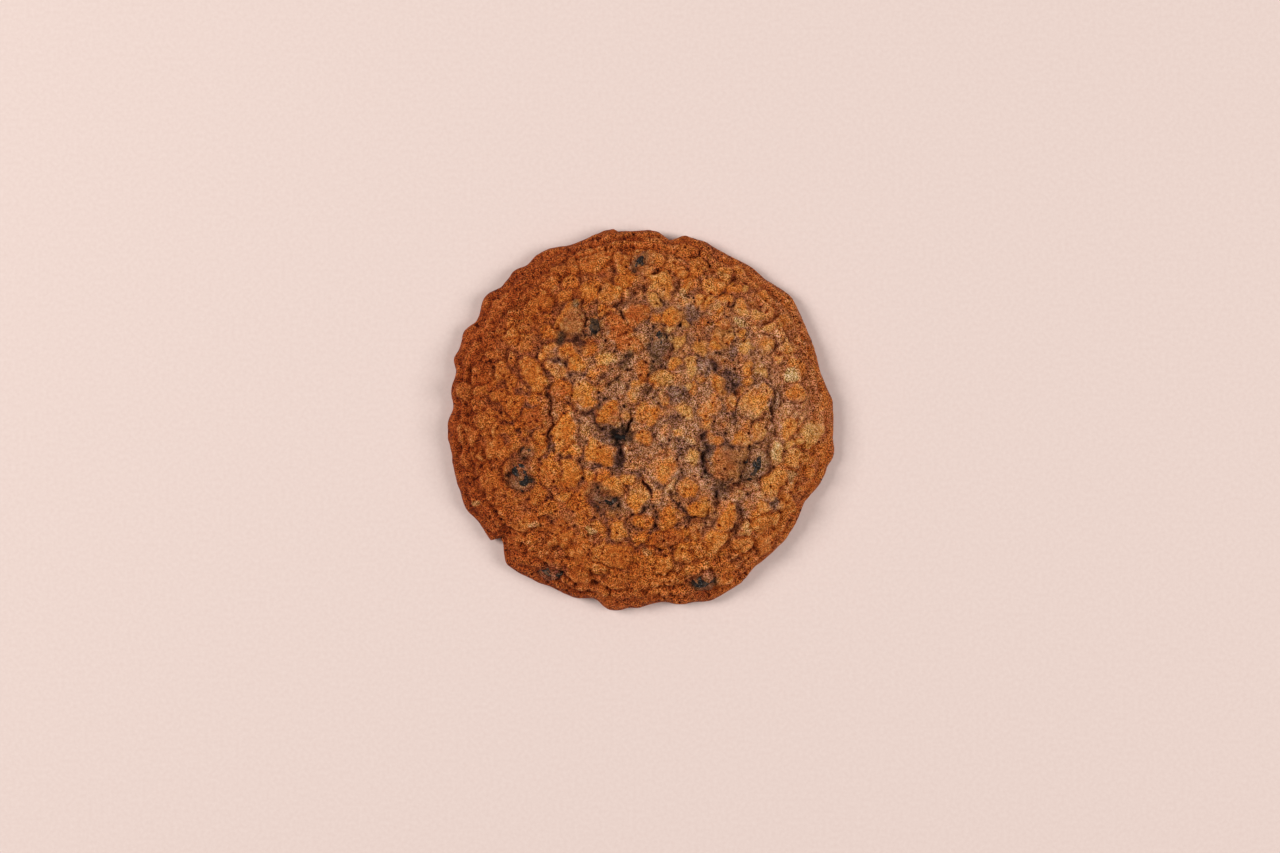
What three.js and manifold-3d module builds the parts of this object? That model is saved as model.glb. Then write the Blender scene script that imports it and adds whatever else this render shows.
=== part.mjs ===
// An oatmeal raisin cookie: a thick drop cookie that lies on its flat underside. Rolled oats under
// the dough make its crown lumpy, its edge has spread and set in an uneven line, and raisins show
// in the dough. Millimetres and degrees, +Z up, with the origin on the underside.

import * as THREE from "three";
import { mergeVertices } from "three/addons/utils/BufferGeometryUtils.js";
import Module from "manifold-3d";

const { clamp, degToRad, radToDeg, smoothstep } = THREE.MathUtils;

// The dome's section, before the crags
const CROWN_HEIGHT = 14.6;
const RIM_HEIGHT = 2.2; // of the widest line
const UNDERCUT = 1.7; // the underside's edge lies this far inside the widest line
const SHOULDER = 3.2; // a larger power makes the crown flatter
const FLANK = 0.62; // a smaller power makes the flank steeper

// The crown follows the outline averaged over a wide sweep, and the notches show near the rim only
const BROAD = { spread: 40, steps: 8 };
const NOTCH_FADE = 14; // a larger power keeps the notches nearer the rim

// Crags
const SWELL = { height: 0.45, waves: 6, shortest: 14, longest: 34, fade: 4 };
const BEND = { reach: 0.45, waves: 6, shortest: 4, longest: 9 }; // of the oats' outlines
const VALLEY = 0.95; // depth of the plain dough between the oats
const PILLOW = { proud: 1.4, flat: 2.2, lean: 0.45 }; // section of the dough over an oat
const MERGE = 5; // a larger power keeps overlapping oats more apart
const CALM = { from: 0.85, level: 0.5 }; // share of the radius where the crags fade, and their rest
const RIM_FADE = 0.96; // share of the radius from which the crags give way to the edge
const RIM_GROOVE = { inset: 4.2, width: 1.5, depth: 0.5 };

// Oats that the seeded spiral adds between the ones placed by hand
const SPIRAL = { count: 300, reach: 42, turn: 137.508, jitter: 1.2 };
const SPIRAL_LENGTH = [3.2, 6.4];
const SPIRAL_SHAPE = [0.6, 0.95]; // width as a share of the length
const SPIRAL_RISE = [0.55, 1.15];
const SPIRAL_CLEARANCE = 0.58; // share of two oats' radii that their centres keep apart

// Raisins
const RAISIN_GAP = 0.3; // between a raisin and its socket
const RAISIN_MOAT = 1.3; // width of the sunken dough round a raisin
const RAISIN_SINK = 0.75; // depth of that dough
const RAISIN_BED = 0.45; // share of the sunken patch that is at its full depth
const RAISIN_DETAIL = 2;
const WRINKLES = { count: 5, depth: 0.09, twist: 2.2 };

// Mesh
const RINGS = 36; // from the centre to the widest line, six more points on each
const EDGE_RINGS = 2; // from the widest line down to the underside
const SHUFFLE = 0.24; // share of the spacing by which a drawn shift moves the top's points
const SECTION_STEPS = 2000; // for measuring along the dome's section
const FALL_STEP = 0.004; // share of the radius over which the slope is taken
const SHARE_PASSES = 8; // of the search for the share at a point
const ROUNDING = 1e-9;
const WELD = 1e-4;
const SEED = 20;

// The plan's outline: angle and radius, from one bulge or dent to the next
const OUTLINE = [
  [4, 44.7], [15, 43.1], [27, 43.7], [39, 45.0], [49, 43.4], [56, 43.6], [62, 43.0], [72, 43.9],
  [76, 43.8], [80.5, 42.3], [86, 43.8], [96.8, 43.9], [98.4, 44.7], [111, 43.7], [121, 45.2],
  [127, 44.7], [131, 45.4], [136, 44.7], [142, 46.1], [149, 44.5], [154, 45.9], [159, 45.3],
  [162, 45.7], [166, 44.4], [171, 44.7], [176, 43.8], [182, 45.1], [191, 44.8], [200, 45.2],
  [207, 45.8], [213, 44.6], [218.8, 44.8], [220.3, 42.8], [227.8, 46.0], [237, 44.9], [242.5, 44.1],
  [249, 44.4], [255, 43.2], [261, 45.0], [267, 44.0], [276.5, 42.8], [284, 44.3], [292, 45.2],
  [300, 44.6], [308, 43.4], [320, 43.7], [333, 42.8], [341, 44.3], [345, 44.7], [348.6, 45.6],
  [355, 44.8],
];
const WIDEST = Math.max(...OUTLINE.map(([, radius]) => radius));

// The oats and crags that stand out most: x, y, length, width, angle, rise
const OATS = [
  [-12, 37, 9, 6, 20, 0.7], [-12, 29.3, 6, 6, 0, 0.7], [4.8, 31, 8, 6, -35, 1.1],
  [2.8, 27.2, 5, 3, -60, 1.1], [-1.2, 24, 7, 6.5, 70, 1.3], [-4.8, 19.8, 10, 6.5, -35, 1.3],
  [7.6, 23.4, 6, 5, 60, 1.0], [8.2, 17.4, 5, 3.8, -70, 1.0], [17, 31, 6, 5, 0, 0.7],
  [23, 25.4, 4, 3.2, 90, 0.6], [28.5, 27.6, 4.5, 3, -60, 0.6], [14, 16.2, 5, 4, 20, 0.8],
  [24.2, 17.4, 5, 4, 20, 0.8], [28.8, 16.8, 4.5, 4.5, 0, 0.8], [33.8, 17, 5, 4, 80, 0.7],
  [18.2, 22, 4.5, 4, 0, 0.7], [-23.2, 27, 9, 5, 62, 0.7], [-29.2, 20.5, 6, 4.5, 40, 0.6],
  [-24.3, 9.6, 11, 5.2, -66, 1.2], [-25.2, 0.2, 9, 6, 15, 1.1], [-33.2, 5.2, 5.5, 4.5, 0, 0.6],
  [-33, -7.2, 5.5, 5, 70, 0.7], [-35.2, -14, 6.5, 5, 60, 0.7], [-37.2, -8.4, 3.4, 2.2, -40, 0.6],
  [-13, 5.4, 7.6, 6.6, -15, 1.4], [-7, 1.6, 7.6, 5, 62, 1.2], [-1.6, 6.2, 6.6, 4.6, 75, 1.3],
  [1.7, 1.5, 6.4, 5.6, 0, 1.4], [0.4, -4.6, 4.4, 3.8, 0, 1.0], [5, -11, 8, 7, -50, 1.3],
  [-9.6, -7.6, 8, 6, -25, 1.3], [-17.6, -2.8, 10, 5.4, 78, 1.2], [-15.9, -12.4, 8.4, 4.2, 82, 1.2],
  [5.6, 9.4, 6, 4.8, -10, 1.1], [11.2, 11.4, 4.8, 3, 80, 0.9], [10.2, 1.2, 6.4, 3, -48, 0.9],
  [15.6, 3, 6.4, 5, 80, 1.1], [8.8, -3.4, 3, 3, 0, 0.8], [12, -8.8, 3.6, 3.4, 0, 0.8],
  [-14.4, 12.4, 6, 4.8, 30, 1.0], [-7.4, 13.6, 5.6, 4, -15, 1.0], [17.6, 8, 7.4, 3.2, -64, 1.0],
  [26.4, 3.6, 9.6, 6.8, 50, 1.4], [35.6, 6.2, 6, 5.4, 0, 0.9], [34.2, -2.4, 6.6, 4.2, 88, 0.9],
  [39.2, -3.2, 7.4, 6, 75, 0.8], [42.2, 3.6, 5.4, 3.6, 75, 0.6], [35, -8.8, 4.4, 3.6, -50, 0.9],
  [31, -7.6, 7.4, 3.2, 88, 1.2], [23.6, -4.6, 6, 4.8, -30, 1.1], [17, -4.6, 4.6, 3.4, 0, 0.9],
  [20.4, -10.4, 10.6, 8.6, 10, 1.5], [30.4, -14.4, 11.4, 5.2, 50, 1.3], [25, 12, 4.8, 3, 84, 0.7],
  [-24, -17.2, 5.6, 5, 60, 0.9], [-18, -18.8, 4.4, 2.8, 0, 0.8], [-27.6, -24.2, 6, 3.8, -10, 0.7],
  [-20, -33.6, 5, 3.8, -10, 0.7], [-5.8, -32, 9, 5.8, 6, 1.1], [-5, -25.8, 5.4, 4.4, 80, 0.9],
  [6.4, -22.6, 7, 5.4, -20, 1.0], [5.4, -27.4, 8.4, 5.4, 8, 1.1], [-0.8, -18, 8.4, 5, 80, 1.2],
  [-3.4, -14, 4, 3.6, 0, 1.1], [-6.2, -15.4, 7, 5.6, 30, 1.3], [10.6, -15.8, 5.4, 4.8, -60, 1.1],
  [13.8, -20.2, 7.6, 5.4, 22, 1.2], [9.8, -30.2, 5, 4.8, 0, 0.8], [5, -33.2, 5, 4.4, 0, 0.7],
  [16.8, -28.2, 7, 6, 50, 1.0], [19.8, -22.4, 7, 4, 68, 1.1], [24.3, -25, 4.6, 4.2, 0, 1.0],
  [28.4, -24.4, 4.6, 4.2, 30, 0.9], [33.4, -20.4, 7, 5, 60, 0.9], [23.2, -29.6, 6, 4.6, 10, 0.8],
  [28.4, -29.4, 5, 4.6, 40, 0.7], [-16, 22.4, 9.6, 6.6, 75, 1.2], [-1, -36, 4, 3, 20, 0.5],
  [-33.6, -2.4, 4, 2.4, 85, 0.5],
];

// Crevices between them: width, depth, and the points that each one runs through
const CREVICES = [
  [1.5, 1.3, [[5.6, 13.6], [2.6, 11], [2, 8.4], [1.6, 6.4], [0.2, 4.2], [-2.5, -0.4], [-3.2, -2.4]]],
  [2.6, 2.1, [[-9.4, -2.6], [-6.6, -3.2], [-4.2, -4.2], [-5.2, -7.4], [-5, -11.6]]],
  [1.6, 1.0, [[-13.6, 1.2], [-10.2, 1.8], [-9.6, -0.8], [-9.2, -3]]],
  [1.8, 1.1, [[-2.8, 14.4], [-4.4, 12.4], [-5.2, 10.4], [-7.2, 8.8]]],
  [1.5, 1.0, [[-20.6, 7.4], [-21.2, 5], [-20.6, 2.4], [-21.2, 0.8], [-20.2, -1.8], [-22, -5.8]]],
  [1.5, 1.2, [[30.4, 6.4], [30.2, 2.8], [31, -0.4], [31.3, -3.4]]],
  [2.6, 1.4, [[16.4, 13], [19.4, 10], [21.6, 8], [22, 6.2]]],
  [2.4, 1.7, [[15, -3.6], [14.8, -7.6], [15.6, -12.2], [18.4, -15.6], [22.4, -16]]],
  [1.6, 1.2, [[18, -16.6], [17.4, -19], [14.8, -23], [10.8, -22.8], [9.6, -20.4], [7.2, -18.2], [6.6, -16]]],
  [1.3, 0.9, [[0.2, -13.8], [1.6, -16], [1.5, -19.2], [0, -22], [-3, -23.2]]],
  [1.6, 1.1, [[-18.8, 23.6], [-18.2, 20.4], [-16.8, 17.6], [-13.4, 17], [-9.8, 17.4]]],
  [1.6, 0.8, [[-9.2, 24.8], [-5, 26.6], [-0.4, 29], [2, 31.6]]],
  [1.2, 0.8, [[3.2, 34.2], [5.8, 33.4], [7.8, 31.6], [10.2, 30.4]]],
  [1.6, 0.9, [[-12.2, -4], [-13.6, -6.6], [-14.4, -9], [-13.2, -13.6]]],
  [1.5, 1.0, [[22.4, -19.4], [23.4, -22], [21.4, -25.4]]],
  [1.5, 0.8, [[20, -35.8], [24.2, -34]]],
];

// Raisins that show, numbered from the top of the plan: x, y, length, width, height, angle, stand
const RAISINS = [
  [-0.3, 36.7, 5.2, 3, 3.4, 45, -0.1],
  [-11.3, 21.2, 5, 3.4, 4, 76, 0],
  [4.5, 17.4, 7.6, 4.8, 5, 82, 0],
  [-4.3, -4.2, 4.6, 4, 4.4, -20, -0.9],
  [-26.2, -7.5, 3.4, 2.6, 3, 20, 0.1],
  [26.4, -10.8, 9, 6.2, 6, 54, 0.4],
  [-28, -13.6, 7.6, 5.2, 5, -68, 0.2],
  [-8.2, -18.6, 7, 5, 5, -24, 0.2],
  [-21.4, -36, 7, 3, 3.4, -8, 0],
  [14.8, -38.2, 5.6, 3.8, 4, 12, 0.2],
];

// A small generator of even draws between 0 and 1, the same on every run
function makeDraw(seed) {
  let state = seed;
  return () => {
    state = (1664525 * state + 1013904223) % 4294967296;
    return state / 4294967296;
  };
}

const draw = makeDraw(SEED);
const between = (low, high) => low + (high - low) * draw();

// Plane waves in drawn directions, which add up to a smooth field about 0
function makeWaves({ waves, shortest, longest }) {
  return Array.from({ length: waves }, () => {
    const heading = between(0, 2 * Math.PI);
    const rate = (2 * Math.PI) / between(shortest, longest);
    return { kx: rate * Math.cos(heading), ky: rate * Math.sin(heading), phase: between(0, 2 * Math.PI) };
  });
}

function waveField(waves, x, y) {
  const sum = waves.reduce((total, w) => total + Math.sin(w.kx * x + w.ky * y + w.phase), 0);
  return sum / Math.sqrt(waves.length);
}

const swellWaves = makeWaves(SWELL);
const bendWavesX = makeWaves(BEND);
const bendWavesY = makeWaves(BEND);

function outlineRadius(angle) {
  const turn = ((angle % 360) + 360) % 360;
  const next = OUTLINE.findIndex(([a]) => a > turn);
  const [a1, r1] = OUTLINE[next < 0 ? 0 : next];
  const [a0, r0] = OUTLINE[(next < 0 ? 0 : next) === 0 ? OUTLINE.length - 1 : next - 1];
  const span = (a1 - a0 + 360) % 360;
  const along = ((turn - a0 + 360) % 360) / span;
  return r0 + (r1 - r0) * smoothstep(along, 0, 1);
}

function broadRadius(angle) {
  let total = 0;
  for (let k = 0; k <= BROAD.steps; k += 1) {
    total += outlineRadius(angle + BROAD.spread * ((2 * k) / BROAD.steps - 1));
  }
  return total / (BROAD.steps + 1);
}

// Distance from the middle at a share of the way out, and the share at a point of the plan
function reachAt(angle, share) {
  const broad = broadRadius(angle);
  return broad * share + (outlineRadius(angle) - broad) * share ** NOTCH_FADE;
}

function shareAt(x, y) {
  const angle = radToDeg(Math.atan2(y, x));
  const broad = broadRadius(angle);
  let share = Math.hypot(x, y) / broad;
  for (let pass = 0; pass < SHARE_PASSES; pass += 1) {
    share = (Math.hypot(x, y) - (outlineRadius(angle) - broad) * share ** NOTCH_FADE) / broad;
  }
  return share;
}

// Height of the bare dome at a share of the radius, and how steeply it falls per millimetre
function domeHeight(share) {
  return RIM_HEIGHT + (CROWN_HEIGHT - RIM_HEIGHT) * (1 - share ** SHOULDER) ** FLANK;
}

function domeFall(share, radius) {
  const from = clamp(share - FALL_STEP, 0, 1);
  const to = clamp(share + FALL_STEP, 0, 1);
  return (domeHeight(from) - domeHeight(to)) / ((to - from) * radius);
}

function makeOat([x, y, length, width, angle, rise]) {
  const turn = degToRad(angle);
  return { x, y, a: length / 2, b: width / 2, cos: Math.cos(turn), sin: Math.sin(turn), rise };
}

// The placed oats and the spiral's, less those of the spiral that crowd an earlier one. Each one
// leans to a drawn side, given by the steps that its height takes along x and y.
function spreadOats(placed) {
  const oats = [...placed];
  for (let i = 0; i < SPIRAL.count; i += 1) {
    const radius = SPIRAL.reach * Math.sqrt((i + 0.5) / SPIRAL.count);
    const angle = degToRad(i * SPIRAL.turn);
    const x = radius * Math.cos(angle) + between(-SPIRAL.jitter, SPIRAL.jitter);
    const y = radius * Math.sin(angle) + between(-SPIRAL.jitter, SPIRAL.jitter);
    const length = between(...SPIRAL_LENGTH);
    const width = length * between(...SPIRAL_SHAPE);
    const oat = makeOat([x, y, length, width, between(0, 180), between(...SPIRAL_RISE)]);
    const reach = (length + width) / 4;
    const crowded = oats.some(
      (o) => Math.hypot(o.x - x, o.y - y) < SPIRAL_CLEARANCE * (reach + (o.a + o.b) / 2),
    );
    if (!crowded) oats.push(oat);
  }
  for (const oat of oats) {
    const heading = between(0, 2 * Math.PI);
    oat.leanX = (PILLOW.lean * Math.cos(heading)) / oat.a;
    oat.leanY = (PILLOW.lean * Math.sin(heading)) / oat.a;
  }
  return oats;
}

const oats = spreadOats(OATS.map(makeOat));

// A pillow of dough over each oat, the highest one showing where they overlap
function pillow(oat, x, y) {
  const dx = x - oat.x;
  const dy = y - oat.y;
  const along = (dx * oat.cos + dy * oat.sin) / oat.a;
  const across = (dy * oat.cos - dx * oat.sin) / oat.b;
  const out = Math.min(Math.hypot(along, across), 1);
  const crown = PILLOW.proud * oat.rise * (1 + oat.leanX * dx + oat.leanY * dy);
  return crown * (1 - out ** PILLOW.flat);
}

function oatRise(x, y) {
  return oats.reduce((total, oat) => total + pillow(oat, x, y) ** MERGE, 0) ** (1 / MERGE);
}

function distanceToPath(x, y, path) {
  let nearest = Infinity;
  for (let i = 1; i < path.length; i += 1) {
    const [x0, y0] = path[i - 1];
    const dx = path[i][0] - x0;
    const dy = path[i][1] - y0;
    const along = clamp(((x - x0) * dx + (y - y0) * dy) / (dx * dx + dy * dy), 0, 1);
    nearest = Math.min(nearest, Math.hypot(x - x0 - along * dx, y - y0 - along * dy));
  }
  return nearest;
}

function creviceDepth(x, y) {
  return CREVICES.reduce((deepest, [width, depth, path]) => {
    const out = distanceToPath(x, y, path) / (width / 2);
    return Math.max(deepest, depth * Math.exp(-out * out));
  }, 0);
}

// How far the dough sinks round and under the raisins
function raisinSink(x, y) {
  return RAISINS.reduce((deepest, [cx, cy, length, width, , angle]) => {
    const turn = degToRad(angle);
    const along = (x - cx) * Math.cos(turn) + (y - cy) * Math.sin(turn);
    const across = (y - cy) * Math.cos(turn) - (x - cx) * Math.sin(turn);
    const out = Math.hypot(along / (length / 2 + RAISIN_MOAT), across / (width / 2 + RAISIN_MOAT));
    return Math.max(deepest, RAISIN_SINK * (1 - smoothstep(out, RAISIN_BED, 1)));
  }, 0);
}

// The crags: how far the surface stands off the bare dome at a point of the plan
function relief(x, y, share, radius) {
  const bentX = x + BEND.reach * waveField(bendWavesX, x, y);
  const bentY = y + BEND.reach * waveField(bendWavesY, x, y);
  const calm = 1 - (1 - CALM.level) * smoothstep(share, CALM.from, 1);
  const crags = oatRise(bentX, bentY) - VALLEY - creviceDepth(bentX, bentY) - raisinSink(bentX, bentY);
  const swell = SWELL.height * waveField(swellWaves, x, y) * (1 - share ** SWELL.fade);
  const fromGroove = ((1 - share) * radius - RIM_GROOVE.inset) / (RIM_GROOVE.width / 2);
  const groove = RIM_GROOVE.depth * Math.exp(-fromGroove * fromGroove);
  const atRim = 1 - smoothstep(share, RIM_FADE, 1);
  return (crags * calm - groove) * atRim + swell;
}

// A point of the top, at a share of the radius from the middle
function topPoint(angle, share) {
  const turn = degToRad(angle);
  const radius = outlineRadius(angle);
  const reach = reachAt(angle, share);
  const x = reach * Math.cos(turn);
  const y = reach * Math.sin(turn);
  const fall = share > 0 ? domeFall(share, radius) : 0;
  const off = relief(x, y, share, radius) / Math.hypot(1, fall);
  return [x + off * fall * Math.cos(turn), y + off * fall * Math.sin(turn), domeHeight(share) + off];
}

// A point of the rounded edge below the widest line, from there down to the underside
function edgePoint(angle, share) {
  const turn = degToRad(angle);
  const radius = outlineRadius(angle) - UNDERCUT * (1 - Math.cos((share * Math.PI) / 2));
  const height = RIM_HEIGHT * (1 - Math.sin((share * Math.PI) / 2));
  return [radius * Math.cos(turn), radius * Math.sin(turn), height];
}

// Shares of the radius that lie in equal steps along the dome's section
function evenShares(count) {
  const lengths = [0];
  for (let i = 1; i <= SECTION_STEPS; i += 1) {
    const drop = domeHeight((i - 1) / SECTION_STEPS) - domeHeight(i / SECTION_STEPS);
    lengths.push(lengths[i - 1] + Math.hypot(WIDEST / SECTION_STEPS, drop));
  }
  return Array.from({ length: count + 1 }, (_, ring) => {
    const wanted = (lengths[SECTION_STEPS] * ring) / count;
    return lengths.findIndex((l) => l >= wanted - ROUNDING) / SECTION_STEPS;
  });
}

// Rings of points from the middle of the underside, round the edge and up to the crown
function cookieRings() {
  const around = 6 * RINGS;
  const shuffled = () => between(-SHUFFLE, SHUFFLE);
  const ringOf = (count, point) => Array.from({ length: count }, (_, i) => point((360 * i) / count));
  const shares = evenShares(RINGS);
  const rings = [[[0, 0, 0]]];
  for (let k = EDGE_RINGS; k > 0; k -= 1) {
    rings.push(ringOf(around, (angle) => edgePoint(angle, k / EDGE_RINGS)));
  }
  rings.push(ringOf(around, (angle) => topPoint(angle, 1)));
  for (let k = RINGS - 1; k > 0; k -= 1) {
    const step = shares[k + 1] - shares[k];
    const turn = 60 / k;
    rings.push(ringOf(6 * k, (angle) => topPoint(angle + turn * shuffled(), shares[k] + step * shuffled())));
  }
  rings.push([topPoint(0, 0)]);
  return rings;
}

// Triangles between two rings, stepping along whichever one lags behind
function stitch(lower, upper, lowerStart, upperStart, triangles) {
  const n = lower.length;
  const m = upper.length;
  let i = 0;
  let j = 0;
  while (i < (n > 1 ? n : 0) || j < (m > 1 ? m : 0)) {
    const stepLower = m === 1 || (n > 1 && (i + 0.5) / n <= (j + 0.5) / m);
    const a = lowerStart + (i % n);
    const b = upperStart + (j % m);
    if (stepLower && i < n) {
      i += 1;
      triangles.push(a, lowerStart + (i % n), b);
    } else {
      j += 1;
      triangles.push(a, upperStart + (j % m), b);
    }
  }
}

function cookieGeometry() {
  const rings = cookieRings();
  const triangles = [];
  let start = 0;
  for (let k = 1; k < rings.length; k += 1) {
    stitch(rings[k - 1], rings[k], start, start + rings[k - 1].length, triangles);
    start += rings[k - 1].length;
  }
  return new THREE.BufferGeometry()
    .setAttribute("position", new THREE.Float32BufferAttribute(rings.flat(2), 3))
    .setIndex(triangles);
}

// A raisin about its own centre: a lengthwise-wrinkled, slightly flattened berry
function raisinGeometry([, , length, width, height], swell) {
  const geometry = new THREE.IcosahedronGeometry(1, RAISIN_DETAIL);
  const at = geometry.getAttribute("position");
  const p = new THREE.Vector3();
  for (let i = 0; i < at.count; i += 1) {
    p.fromBufferAttribute(at, i).normalize();
    const round = Math.atan2(p.z, p.y);
    const fold = Math.sin(WRINKLES.count * round + WRINKLES.twist * p.x) * (1 - p.x * p.x);
    p.multiplyScalar(1 + WRINKLES.depth * fold);
    at.setXYZ(i, p.x * (length / 2 + swell), p.y * (width / 2 + swell), p.z * (height / 2 + swell));
  }
  return geometry;
}

// Stands a raisin in the dough, tipped with the dome's slope
function placeRaisin(geometry, [x, y, , , height, angle, stand]) {
  const bearing = Math.atan2(y, x);
  const share = shareAt(x, y);
  const slope = Math.atan(domeFall(share, outlineRadius(radToDeg(bearing))));
  const tip = new THREE.Quaternion().setFromAxisAngle(
    new THREE.Vector3(-Math.sin(bearing), Math.cos(bearing), 0),
    slope,
  );
  const spin = new THREE.Quaternion().setFromAxisAngle(new THREE.Vector3(0, 0, 1), degToRad(angle));
  const outward = new THREE.Vector3(0, 0, stand - height / 2).applyQuaternion(tip);
  const centre = new THREE.Vector3(x, y, domeHeight(share)).add(outward);
  const place = new THREE.Matrix4().compose(centre, tip.multiply(spin), new THREE.Vector3(1, 1, 1));
  return geometry.applyMatrix4(place);
}

const wasm = await Module();
wasm.setup();

function solidOf(geometry) {
  const bare = new THREE.BufferGeometry().setAttribute("position", geometry.getAttribute("position"));
  if (geometry.index) bare.setIndex(geometry.index);
  const merged = mergeVertices(bare, WELD);
  return new wasm.Manifold(
    new wasm.Mesh({
      numProp: 3,
      vertProperties: merged.getAttribute("position").array,
      triVerts: new Uint32Array(merged.index.array),
    }),
  );
}

function geometryOf(solid) {
  const mesh = solid.getMesh();
  return new THREE.BufferGeometry()
    .setAttribute("position", new THREE.BufferAttribute(mesh.vertProperties, 3))
    .setIndex(new THREE.BufferAttribute(mesh.triVerts, 1));
}

// The dough with a socket for each raisin, less any crumb that the sockets cut loose
function cutSockets(dough) {
  const cut = RAISINS.reduce(
    (solid, raisin) => solid.subtract(solidOf(placeRaisin(raisinGeometry(raisin, RAISIN_GAP), raisin))),
    dough,
  );
  return cut.decompose().reduce((largest, body) => (body.volume() > largest.volume() ? body : largest));
}

const doughMaterial = new THREE.MeshStandardMaterial({ color: 0x9a5a2b, roughness: 0.75, metalness: 0 });
const raisinMaterial = new THREE.MeshStandardMaterial({ color: 0x231c20, roughness: 0.45, metalness: 0 });

function named(name, geometry, material) {
  geometry.computeVertexNormals();
  const mesh = new THREE.Mesh(geometry, material);
  mesh.name = name;
  return mesh;
}

const dough = named("cookie", geometryOf(cutSockets(solidOf(cookieGeometry()))), doughMaterial);
const raisins = RAISINS.map((raisin, i) =>
  named(`raisin_${i + 1}`, placeRaisin(raisinGeometry(raisin, 0), raisin), raisinMaterial),
);

// The plan's box is centred on the origin
dough.geometry.computeBoundingBox();
const middle = dough.geometry.boundingBox.getCenter(new THREE.Vector3());
const cookie = new THREE.Group();
cookie.add(dough, ...raisins);
cookie.position.set(-middle.x, -middle.y, 0);

const part = new THREE.Group();
part.add(cookie);

export default part;
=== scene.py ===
import math

import bmesh
import bpy
import numpy as np
from mathutils import Matrix, Vector


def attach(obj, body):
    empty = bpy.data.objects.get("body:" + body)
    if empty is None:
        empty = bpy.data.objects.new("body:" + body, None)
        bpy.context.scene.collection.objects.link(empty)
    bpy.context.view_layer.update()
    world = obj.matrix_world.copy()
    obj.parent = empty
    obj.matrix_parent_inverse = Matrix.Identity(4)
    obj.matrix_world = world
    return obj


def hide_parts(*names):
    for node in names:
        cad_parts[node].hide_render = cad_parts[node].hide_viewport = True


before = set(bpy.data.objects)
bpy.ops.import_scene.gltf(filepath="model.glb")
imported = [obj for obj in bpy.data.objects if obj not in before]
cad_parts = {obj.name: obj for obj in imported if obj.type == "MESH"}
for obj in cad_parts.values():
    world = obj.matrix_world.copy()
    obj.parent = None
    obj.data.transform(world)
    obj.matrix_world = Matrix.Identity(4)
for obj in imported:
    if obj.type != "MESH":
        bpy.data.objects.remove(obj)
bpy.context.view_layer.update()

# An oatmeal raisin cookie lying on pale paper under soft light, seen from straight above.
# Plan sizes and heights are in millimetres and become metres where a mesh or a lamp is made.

MM = 0.001
FULL_TURN = 2 * math.pi
SEED = 20

# The dome's section, before the crags
CROWN_HEIGHT = 14.6
RIM_HEIGHT = 2.2
UNDERCUT = 1.7
SHOULDER = 3.2
FLANK = 0.62
SLOPE_STEP = 0.004

# The plan's notches, its average over a broad sweep, and the crumbs in its edge
BROAD_SPREAD = 40
BROAD_STEPS = 8
NOTCH_FADE = 14
SHARE_PASSES = 8
RAGGED = (0.25, 2.6)
RAGGED_RADIUS = 46

# Swells of the crown and bends of the oats, with their waves' number and range of lengths
SWELL = 0.45
SWELL_WAVES = (6, 14, 34)
SWELL_FADE = 4
BEND = 0.45
BEND_WAVES = (6, 4, 9)

# Pillows of dough over the oats
PROUD = 1.36
RISE_SHARE = (0.3, 0.75)
SHOW_SHARE = (0.45, 0.55)
LEAN = 0.45
FLATNESS = 3.6
ROUNDNESS = 0.7
MERGE = 10
SPREAD = 1.14
FACETS = 6
FACET_DRIFT = 0.7
FACET_STAND = (0.76, 1.04)

# Noise that moves the edges of all pillows, and more for crevices and raisins' beds
WARP = (0.75, 2.2)
TEAR = (1.1, 2.2)

# Where pillows are browner, and the seams between them
SIDE_BROWNING = 0.22
SEAM_GAP = 0.3
SEAM_DEPTH = 0.4

# Plain dough, its smooth slabs, crevices, and the height that crags ease towards
VALLEY = 0.95
SLAB = 0.5
SLAB_SIZE = 8
SLIT = 0.65
CREVICE_LEVELS = (0.8, 0.1, 1.3)
CREVICE_LIMIT = 1.5
FLANK_GAIN = 0.2
LIMIT = 1.3

# Near the rim the crags calm down, and they end at a groove and the plain edge
CALM_FROM = 0.85
CALM_LEVEL = 0.5
FINE_CALM = 0.45
RIM_FADE = 0.96
EDGE_FADE = 0.5
GROOVE_INSET = 4.2
GROOVE_WIDTH = 1.5
GROOVE_DEPTH = 0.5

# Oats that the seeded spiral adds between the listed ones
SPIRAL_COUNT = 300
SPIRAL_REACH = 42
SPIRAL_TURN = 137.508
SPIRAL_JITTER = 1.2
SPIRAL_CLEARANCE = 0.58
SPIRAL_SHOW = 0.1
SPIRAL_BURY = 1.3

# Raisins, their beds, and the films of dough over them
RAISIN_MOAT = 1.3
RAISIN_SINK = 0.65
RAISIN_BED = 0.45
RAISIN_DETAIL = 6
RAISIN_FOLDS = (5, 2.2, 0.09)  # number, twist, depth
RAISIN_CREASES = (4.5, 3, 2.6, 0.1)  # number, sway, its rate along the raisin, depth
# Raisins that stand lower than this get painted shade: their colour is mixed near black
DEEP_STAND = -0.5  # raisins that stand lower than this lie in the dark
PAINTED_DEEP_SHADE = 0.97
FILM_SIZE = 1.4
FILM_STAND = 0.75
FILM_BIAS = -0.16
FILM_DIP = 0.35

# What bare flakes of oat lack of the fine relief, and how proud they stand
FLAKE_CALM = 0.7
FLAKE_STAND = 0.2

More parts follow.
